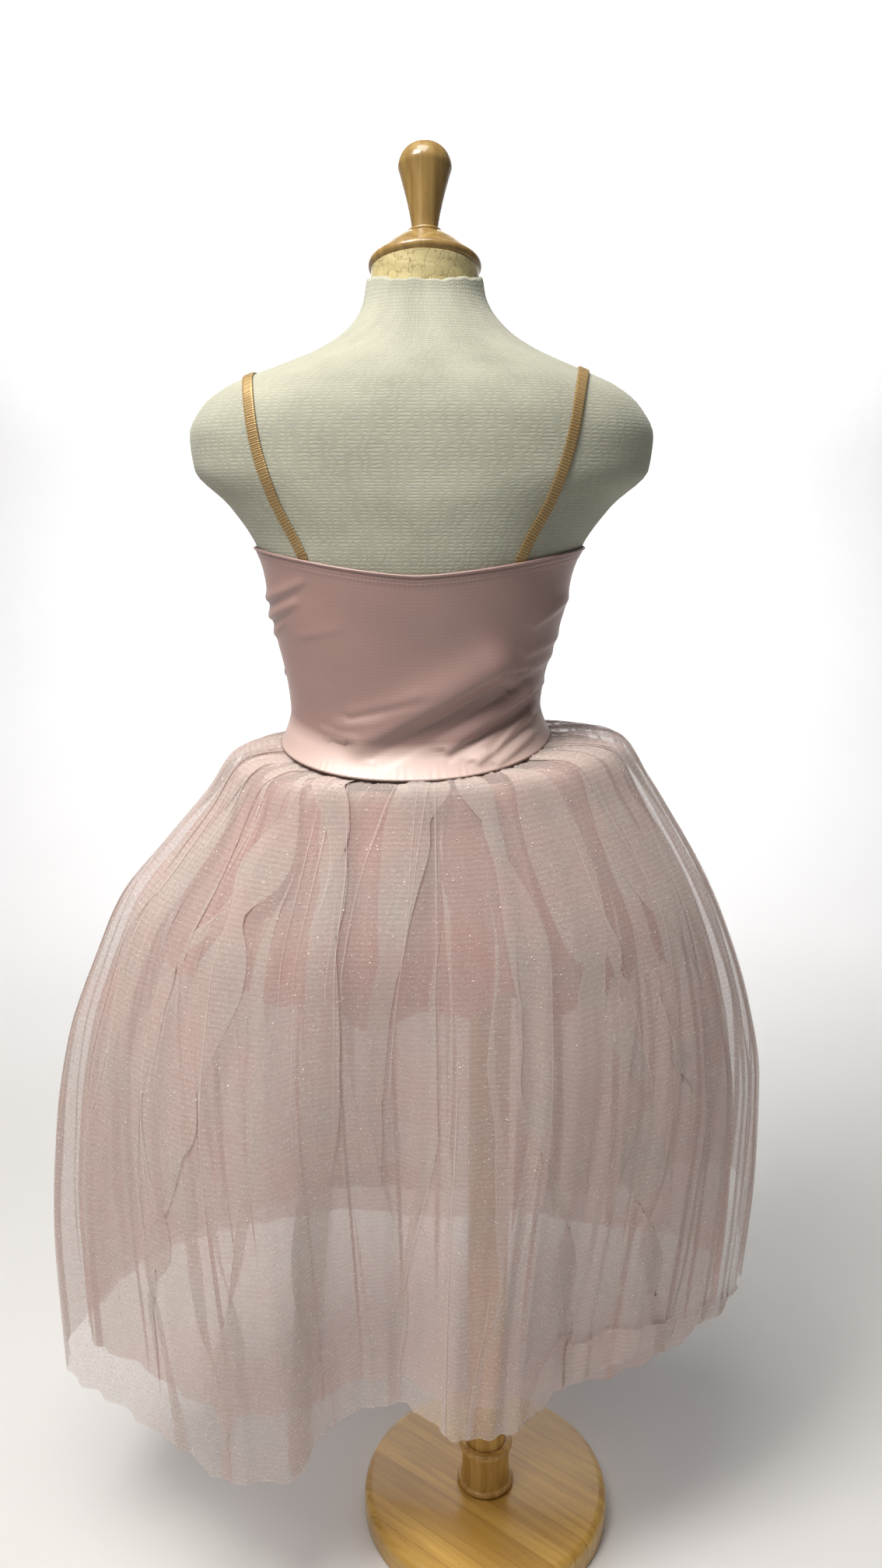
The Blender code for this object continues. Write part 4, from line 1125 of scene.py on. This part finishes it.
def build_strap(name, side, elastic):
    """A ribbed elastic band from the bodice's back edge over the shoulder to its front edge."""
    first = next(s for s in np.arange(-20, 20, 0.25) if clear_of_bodice(side, s))
    last = next(s for s in np.arange(165, 120, -0.25) if clear_of_bodice(side, s))
    tuck = math.degrees(STRAP_TUCK / STRAP_SWING)
    sweeps = np.linspace(first - tuck, last + tuck, STRAP_POINTS)
    coarse = np.array([strap_centre(side, sweep) for sweep in sweeps])
    length = float(flat_lengths(coarse[:, None], 0)[-1])
    fine = np.linspace(0, STRAP_POINTS - 1, int(length / STRAP_RIB_PITCH * 4))
    centres = [smooth_through(np.arange(STRAP_POINTS), line, fine) for line in coarse.T]
    centres = np.stack(centres, axis=1)
    normals = form_normals(centres)
    across = unit(np.cross(np.gradient(centres, axis=0), normals))
    distance = flat_lengths(centres[:, None], 0)
    tucked = soft_step(np.minimum(distance, distance[-1] - distance) / STRAP_TUCK - 0.25)
    base = STRAP_LOWEST + (STRAP_CLEARANCE - STRAP_LOWEST) * tucked
    ribs = 0.5 + 0.5 * np.cos(FULL_TURN * distance / STRAP_RIB_PITCH)
    # The section's points, each at a share of the half width and of the thickness.
    section = [(share, 1.0) for share in np.linspace(-1, 1, 13)]
    section += [(share, 0.0) for share in (1.0, 0.4, -0.4, -1.0)]
    grid = []
    for share, top in section:
        cords = 0.5 + 0.5 * math.cos(FULL_TURN * 3 * share)
        edge = 1 - 0.35 * abs(share) ** 8
        thickness = STRAP_CLOTH - STRAP_THINNING + STRAP_RIB_RISE * ribs * (0.55 + 0.45 * cords)
        thickness = thickness * edge * top * (0.45 + 0.55 * tucked)
        phase = 0 if share > 0 else 2
        wave = STRAP_EDGE_WAVE * np.sin(FULL_TURN * distance / STRAP_EDGE_PITCH + phase)
        half = STRAP_WIDTH / 2 * share + (wave if abs(share) > 0.9 else 0)
        grid.append(centres + across * np.reshape(half, (-1, 1)) + normals * (base + thickness)[:, None])
    points = np.stack(grid + grid[:1], axis=1)
    if side > 0:
        points = points[:, ::-1]
    add_cloth(name + "_elastic", points, elastic, [name], width=STRAP_WIDTH * 2)


# ---------------------------------------------------------------- skirts


def chance_folds(count, seed, ends_at):
    """Folds between the main ones: narrow near the waist, wide lower down, each with its own run."""
    rng = np.random.default_rng(seed)
    folds = []
    for number in range(count):
        degrees = 360 * (number + rng.uniform(0.1, 0.9)) / count
        starts_high = rng.random() < 0.65
        first = 0.0 if starts_high else rng.uniform(0.10, 0.55)
        last = min(first + rng.uniform(0.35, 1.0), 1.1) * ends_at
        first *= ends_at
        lean = rng.normal(0, LEAN)
        bend = rng.normal(0, BEND)
        middle = (first + last) / 2
        path = ((first, degrees), (middle, degrees + lean / 2 + bend), (last, degrees + lean))
        side = rng.choice([-1, 1])
        width = rng.choice([rng.uniform(0.5, 1.0), rng.uniform(0.9, 2.3)])
        folds.append(Fold(path, width, rng.uniform(2.0, 3.0), side * rng.uniform(0.0006, 0.0013)))
    return folds


def widening(run):
    """How many times more of the turn a fold takes up here than at the hem, where the skirt is wide."""
    return 1 / (WAIST_SHARE + (1 - WAIST_SHARE) * np.clip(bell("out_left", run), 0, 1))


def fold_place(fold, run, widened):
    """A fold's middle and width in radians, with its outside edge along its path."""
    width = math.radians(fold.width) * widened
    half_lap = 0.5 * width * max(fold.lap - 1.6, 0.2)
    path = np.radians(smooth_through(*zip(*fold.path), run))
    return path + math.copysign(1, fold.lift) * half_lap, width


def fold_cloth(turn, run, folds):
    """How far folds move the cloth: round the body in radians, and outward in metres."""
    aside = np.zeros(np.broadcast(turn, run).shape)
    lift = np.zeros_like(aside)
    widened = widening(run)
    for fold in folds:
        starts, ends = fold.path[0][0], fold.path[-1][0]
        strength = np.clip((run - starts + FADE_IN) / FADE_IN, 0, 1)
        strength = strength * (1 - soft_step((run - ends) / FADE_OUT))
        centre, width = fold_place(fold, run, widened)
        x = ((turn - centre + math.pi) % FULL_TURN - math.pi) / width
        turned = x * np.exp(-x * x) * strength
        aside -= fold.lap * width * turned
        lift += fold.lift * turned
    return aside, lift


def column_places(count, folds):
    """Places round a skirt, closer together where its folds turn."""
    closeness = 1.6  # that each fold adds
    steps = np.linspace(0, 1, 20001)
    density = np.ones(len(steps))
    for fold in folds:
        for _, degrees in fold.path:
            away = (steps * 360 - degrees + 180) % 360 - 180
            density += closeness / len(fold.path) * np.exp(-((away / fold.width) ** 2))
    total = np.concatenate([[0], np.cumsum((density[1:] + density[:-1]) / 2)])
    total /= total[-1]
    half = count // 2
    # The side seams, at no turn and half a turn, each keep a column.
    at_half = np.interp(0.5, steps, total)
    first = np.interp(np.linspace(0, at_half, half, endpoint=False), total, steps)
    second = np.interp(np.linspace(at_half, 1, count - half, endpoint=False), total, steps)
    return np.concatenate([first, second])


def gather_drift(share):
    """How far gathers drift aside round a skirt, as a share of a turn."""
    return sum(moved * np.sin(waves * FULL_TURN * share) for waves, moved in GATHER_DRIFTS)


def cloth_at(skirt, placed, reach, folds):
    """Points of a skirt's cloth, the way its bell faces there, and its gathers' waves. A reach over 1 is
    past the hem's crease, where the cloth comes back up."""
    run = np.where(reach <= 1, reach, 2 - reach)
    turned_up = np.maximum(reach - 1, 0)
    out = TURN_UP_LIFT * soft_step(turned_up / 0.02)
    out = out + TURN_UP_WAVE * np.sin(26 * placed) * soft_step(turned_up / 0.03)
    aside, lift = fold_cloth(placed, run, folds)
    placed = placed + aside
    out = out + lift * (0.3 + 0.7 * soft_step(run / 0.05))
    # Layers that lie on each other wave together, so the waves go by where the cloth has come to lie.
    there = placed / FULL_TURN
    there = there - gather_drift(there)
    fold_number = there * skirt.gathers
    unlike = np.sin(FOLD_DEPTH_STEP * fold_number) * np.sin(FULL_TURN * there) ** 2
    wave = np.cos(FULL_TURN * fold_number) * (1 + FOLD_UNEVENNESS * unlike)
    depth = skirt.waist_gather + (skirt.hem_gather - skirt.waist_gather) * run
    out = out + wave * depth * GATHER_SHARE
    pucker = np.sin(PUCKERS * placed + 2.6 * np.sin(13 * placed)) * (0.6 + 0.4 * np.sin(29 * placed))
    out = out + PUCKER_RISE * pucker * (1 - soft_step(run / PUCKER_END))
    flutter = np.sin(97 * placed + 3 * np.sin(8 * placed) + 6 * run)
    out = out + FLUTTER * flutter * soft_step((run - 0.2) / 0.5)
    from_puff = (run - WAIST_PUFF_AT) / WAIST_PUFF_WIDTH
    out = out + WAIST_PUFF * np.sin(placed) ** 2 * np.exp(-(from_puff**2))
    normals = skirt_normals(skirt, placed, run)
    return skirt_middle(skirt, placed, run) + normals * out[..., None], normals, wave


def skirt_cloth(drape, folds):
    """Points of a whole skirt's cloth, row by row from inside the waist to the hem."""
    skirt = drape.skirt
    share = column_places(drape.columns, folds)[None, :]
    down = (np.linspace(0, 1, drape.rows) ** ROWS_CLOSER)[:, None]
    turn = FULL_TURN * (share + gather_drift(share))
    reach = down * skirt.ends_at
    if skirt is OUTER_SKIRT:
        degrees, shares = column(HEM_TURN_UP, "degrees"), column(HEM_TURN_UP, "share")
        reach = reach * (1 + smooth_through(degrees, shares, np.degrees(turn) % 360))
    if skirt.ends_at < 1:
        reach = reach * (1 + UNEVEN_HEM * np.sin(5 * turn + 1.0) * np.cos(13 * turn))
    run = np.minimum(reach, 1.0)
    wander = sum(size * np.sin(waves * turn + twist * run) for waves, twist, size in WANDERS)
    wander = wander * soft_step(run / 0.25) * np.sin(turn) ** 2
    points, normals, wave = cloth_at(skirt, turn + wander, reach, folds)
    # The top is sewn inside the bodice's lower edge.
    seam = waist_seam(turn[0]) - skirt.sewn_below
    sewn = [form_points(turn[0], seam + 0.0025, 0.0010 + 0.0005 * wave[0])]
    return np.concatenate([sewn, points]), np.concatenate([normals[:1], normals])


def veiled_normals(points, falls):
    """Normals for the light on a net. Its threads catch light from all round, so a small fold shades it
    far less than it would a solid cloth: each normal leans from the fold's own toward the skirt's fall."""
    round_ring = np.roll(points, -1, axis=1) - np.roll(points, 1, axis=1)
    own = unit(np.cross(np.gradient(points, axis=0), round_ring))
    own *= np.where(np.sum(own * falls, axis=-1, keepdims=True) < 0, -1, 1)
    return unit(own * (1 - VEIL) + falls * VEIL)


def light_as_net(cloth, veiled):
    """Give each face of a skirt these normals, turned over where the cloth doubles back on itself."""
    mesh = cloth.data
    corners = np.empty(len(mesh.loops), np.int32)
    mesh.loops.foreach_get("vertex_index", corners)
    own = np.empty(len(mesh.polygons) * 3, np.float32)
    mesh.polygons.foreach_get("normal", own)
    normals = veiled[corners].reshape(-1, 4, 3)
    turned_over = np.sum(normals.mean(axis=1) * own.reshape(-1, 3), axis=-1) < 0
    normals[turned_over] *= -1
    mesh.normals_split_custom_set(normals.reshape(-1, 3).tolist())


def build_skirt(drape, finish):
    skirt = drape.skirt
    folds = chance_folds(drape.chance_folds, drape.seed, skirt.ends_at)
    folds += chance_folds(drape.chance_folds, drape.seed + 1, GATHERS_END)
    if skirt is OUTER_SKIRT:
        folds += MAIN_FOLDS
    cloth, falls = skirt_cloth(drape, folds)
    veiled = veiled_normals(cloth, falls)
    half_count = cloth.shape[1] // 2
    width = drape.cut_width / 2
    for half, first_turn in HALVES:
        first = 0 if first_turn == BACK else half_count
        columns = np.arange(first, first + half_count + 1) % cloth.shape[1]
        points = open_seams(cloth[:, columns], first_turn)
        name = f"{skirt.name}_{half}"
        piece = add_cloth(name + "_tulle", points[:, ::-1], finish, [name], width=width)
        light_as_net(piece, veiled[:, columns][:, ::-1].reshape(-1, 3))
        if skirt is OUTER_SKIRT:
            scatter_glints(half, points)
    if skirt is OUTER_SKIRT:
        build_fold_edges(
            [fold for fold in folds if abs(fold.lift) > EDGE_SHOWS and fold.path[-1][0] > EDGE_RUNS]
        )


def lap_edge(fold):
    """Where the cloth doubles back on a fold's outer side, in widths from the fold's middle."""
    steps = np.linspace(0.0, 0.7, 701)
    turning = fold.lap * (1 - 2 * steps**2) * np.exp(-(steps**2))
    return math.copysign(steps[np.argmin(np.abs(turning - 1))], fold.lift)


def build_fold_edges(folds):
    """Where net doubles back it is seen edge on, as a bright line: a narrow strip along each fold's edge, in
    a tulle painted paler as a painted highlight.
    """
    strips = {"back": [], "front": []}
    share = np.linspace(0, 1, EDGE_STEPS)
    for number, fold in enumerate(folds):
        starts, ends = max(fold.path[0][0] - 0.03, 0.004), min(fold.path[-1][0] + 0.05, 0.985)
        runs = np.linspace(starts, ends, EDGE_STEPS)
        centre, width = fold_place(fold, runs, widening(runs))
        placed = centre + lap_edge(fold) * width
        points, normals, _ = cloth_at(OUTER_SKIRT, placed[None, :], runs[None, :], [fold])
        points, normals = points[0], normals[0]
        wide = EDGE_WIDTH * (0.55 + 0.45 * math.sin(5.3 * number)) * np.sin(math.pi * share) ** 0.5
        wide = wide * (0.7 + 0.3 * np.sin(9 * share + number))
        across = unit(np.cross(normals, np.gradient(points, axis=0))) * wide[:, None] / 2
        middle = points + normals * EDGE_CLEAR
        half = "back" if np.sin(placed).mean() > 0 else "front"
        strips[half].append(np.stack([middle - across, middle + across], axis=1).reshape(-1, 3))
    for half, found in strips.items():
        faces = [grid_faces(EDGE_STEPS, 2) + number * EDGE_STEPS * 2 for number in range(len(found))]
        add_piece(
            f"outer_skirt_{half}_edges", np.concatenate(found), np.concatenate(faces), edge_tulle_painted_bright,
        )


def scatter_glints(half, points):
    """Flecks of bright yarn on the outer tulle, denser toward the wearer's left and low down."""
    count, seed = GLINTS[half]
    rng = np.random.default_rng(seed)
    rows, columns = points.shape[0] - 1, points.shape[1] - 1
    across, along = (np.linalg.norm(np.diff(points, axis=axis), axis=-1) for axis in (1, 0))
    weight = across[1:] * along[:, 1:] * (0.5 + 0.5 * np.linspace(0, 1, rows)[:, None])
    weight = weight * np.clip(1.0 + 1.6 * (points[1:, 1:, 0] - FORM_AXIS_X), 0.5, 1.6)
    weight = weight.ravel()
    cells = rng.choice(weight.size, count, p=weight / weight.sum())
    row, col = cells // columns, cells % columns
    corner, beside, below = points[row, col], points[row, col + 1], points[row + 1, col]
    across, along = beside - corner, below - corner
    place = corner + across * rng.random((count, 1)) + along * rng.random((count, 1))
    out = unit(np.cross(along, across))
    across = unit(unit(across) + out * rng.normal(0, GLINT_TILTS[0], (count, 1)))
    out = out + np.cross(out, across) * rng.normal(0, GLINT_TILTS[1], (count, 1))
    out = unit(out - across * np.sum(out * across, axis=-1, keepdims=True))
    sizes = rng.uniform(0.6, 1.3, (count, 1))
    square = np.array([(-0.5, -0.5, 0), (0.5, -0.5, 0), (0.5, 0.5, 0), (-0.5, 0.5, 0)])
    places = (place + out * GLINT_CLEAR, across * sizes, np.cross(out, across) * sizes, out)
    add_many(
        f"outer_skirt_{half}_sparkle", square * (GLINT_LENGTH, GLINT_WIDTH, 1), np.array([(0, 1, 2, 3)]),
        places, sparkle_yarn, "glitter_tulle",
    )


# ---------------------------------------------------------------- studio


def add_light(name, place, size, power, aim, tint="#FFFFFF", spread=180):
    light = bpy.data.lights.new(name, "AREA")
    light.shape = "RECTANGLE"
    light.size, light.size_y = size
    light.energy = power
    light.color = colour(tint)[:3]
    light.spread = math.radians(spread)
    lamp = add_object(name, light)
    lamp.location = place
    away = np.array(place) - np.array(aim)
    lamp.rotation_euler = (
        math.atan2(math.hypot(away[0], away[1]), away[2]), 0, math.atan2(away[1], away[0]) + math.pi / 2
    )


def build_studio():
    """A sweep of pale paper, soft lights overhead and beside the camera, and the camera."""
    bend, bend_start = 1.2, -1.6
    profile = [(4.5, 0.0), (1.0, 0.0), (bend_start, 0.0)]
    for angle in np.radians(np.linspace(6, 90, 15)):
        profile += [(bend_start - bend * math.sin(angle), bend * (1 - math.cos(angle)))]
    profile += [(bend_start - bend, 2.4), (bend_start - bend, 4.6)]
    below_floor = 0.0004
    columns = np.linspace(-4.5, 4.5, 9)
    points = [(x, y, z - below_floor) for y, z in profile for x in columns]
    mesh = bpy.data.meshes.new("paper sweep")
    mesh.from_pydata(points, [], grid_faces(len(profile), len(columns)).tolist())
    mesh.shade_smooth()
    mesh.materials.append(studio_paper())
    add_object("paper_sweep", mesh)

    middle = (FORM_AXIS_X, 0.0, 0.75)
    add_light("key softbox", (0.86, 0.78, 2.42), (0.7, 0.7), 37, middle, "#FFFBF5")
    add_light("overhead softbox", (0.30, 0.52, 2.9), (1.0, 0.9), 31, middle, "#FFFCF7")
    add_light("backdrop softbox", (0.0, -1.6, 3.3), (3.0, 0.6), 58, (0.0, -2.9, 1.6), "#F8FAFF", 110)

    world = bpy.data.worlds.new("studio air")
    world.use_nodes = True
    air = world.node_tree.nodes["Background"]
    air.inputs["Color"].default_value = colour("#F2F1EF")
    air.inputs["Strength"].default_value = 0.13
    bpy.context.scene.world = world
    bpy.context.scene.view_settings.view_transform = "Standard"

    lens = bpy.data.cameras.new("camera")
    lens.sensor_fit = "VERTICAL"
    lens.sensor_height = lens.sensor_width = 36
    lens.lens = 26
    camera = add_object("camera", lens)
    camera.location = (0.046, 0.98, 1.008)
    camera.rotation_euler = (math.radians(76.5), 0, math.pi)
    bpy.context.scene.camera = camera


build_studio()
# The stand's woods are painted lighter than the neck's beech: painted light that makes up for the shadow the
# skirts cast on the stand.
build_stand(
    varnished_beech("turned wood", "#B58A45", "#DAB066"),
    varnished_beech("base wood", "#C3984A", "#E0B660", strips=True),
)
build_form(jersey_cover())
build_neck(varnished_beech("neck wood", "#84683A", "#A3864F"), crazed_paint())

satin, pink_thread = satin_knit(), sewing_thread()
build_bodice("back", BACK, BACK_CREASES, satin, pink_thread)
build_bodice("front", FRONT, FRONT_CREASES, satin, pink_thread)
gold = lurex_elastic()
build_strap("strap_left", 1, gold)
build_strap("strap_right", -1, gold)

sparkle_yarn = bright_yarn()
# The doubled tulle is painted paler than the glitter tulle: a painted highlight for the bright line along
# each fold's edge.
edge_tulle_painted_bright = tulle("doubled tulle painted bright", "#EDE2DC", "#F0DDD6", "#FBF3EE", 0.55)
NETS = (
    ("glitter", "#D6C8C1", "#DCC2BB", "#F6EDE8", 0.44, 0.90),
    ("plain", "#DCBFB8", "#E4B8B2", "#F0DBD4", 0.54),
    ("pink", "#F07A84", "#E96E79", "#F6AEB0", 0.84),
)
for drape, (kind, *look) in zip(DRAPES, NETS):
    build_skirt(drape, tulle(kind + " tulle", *look))
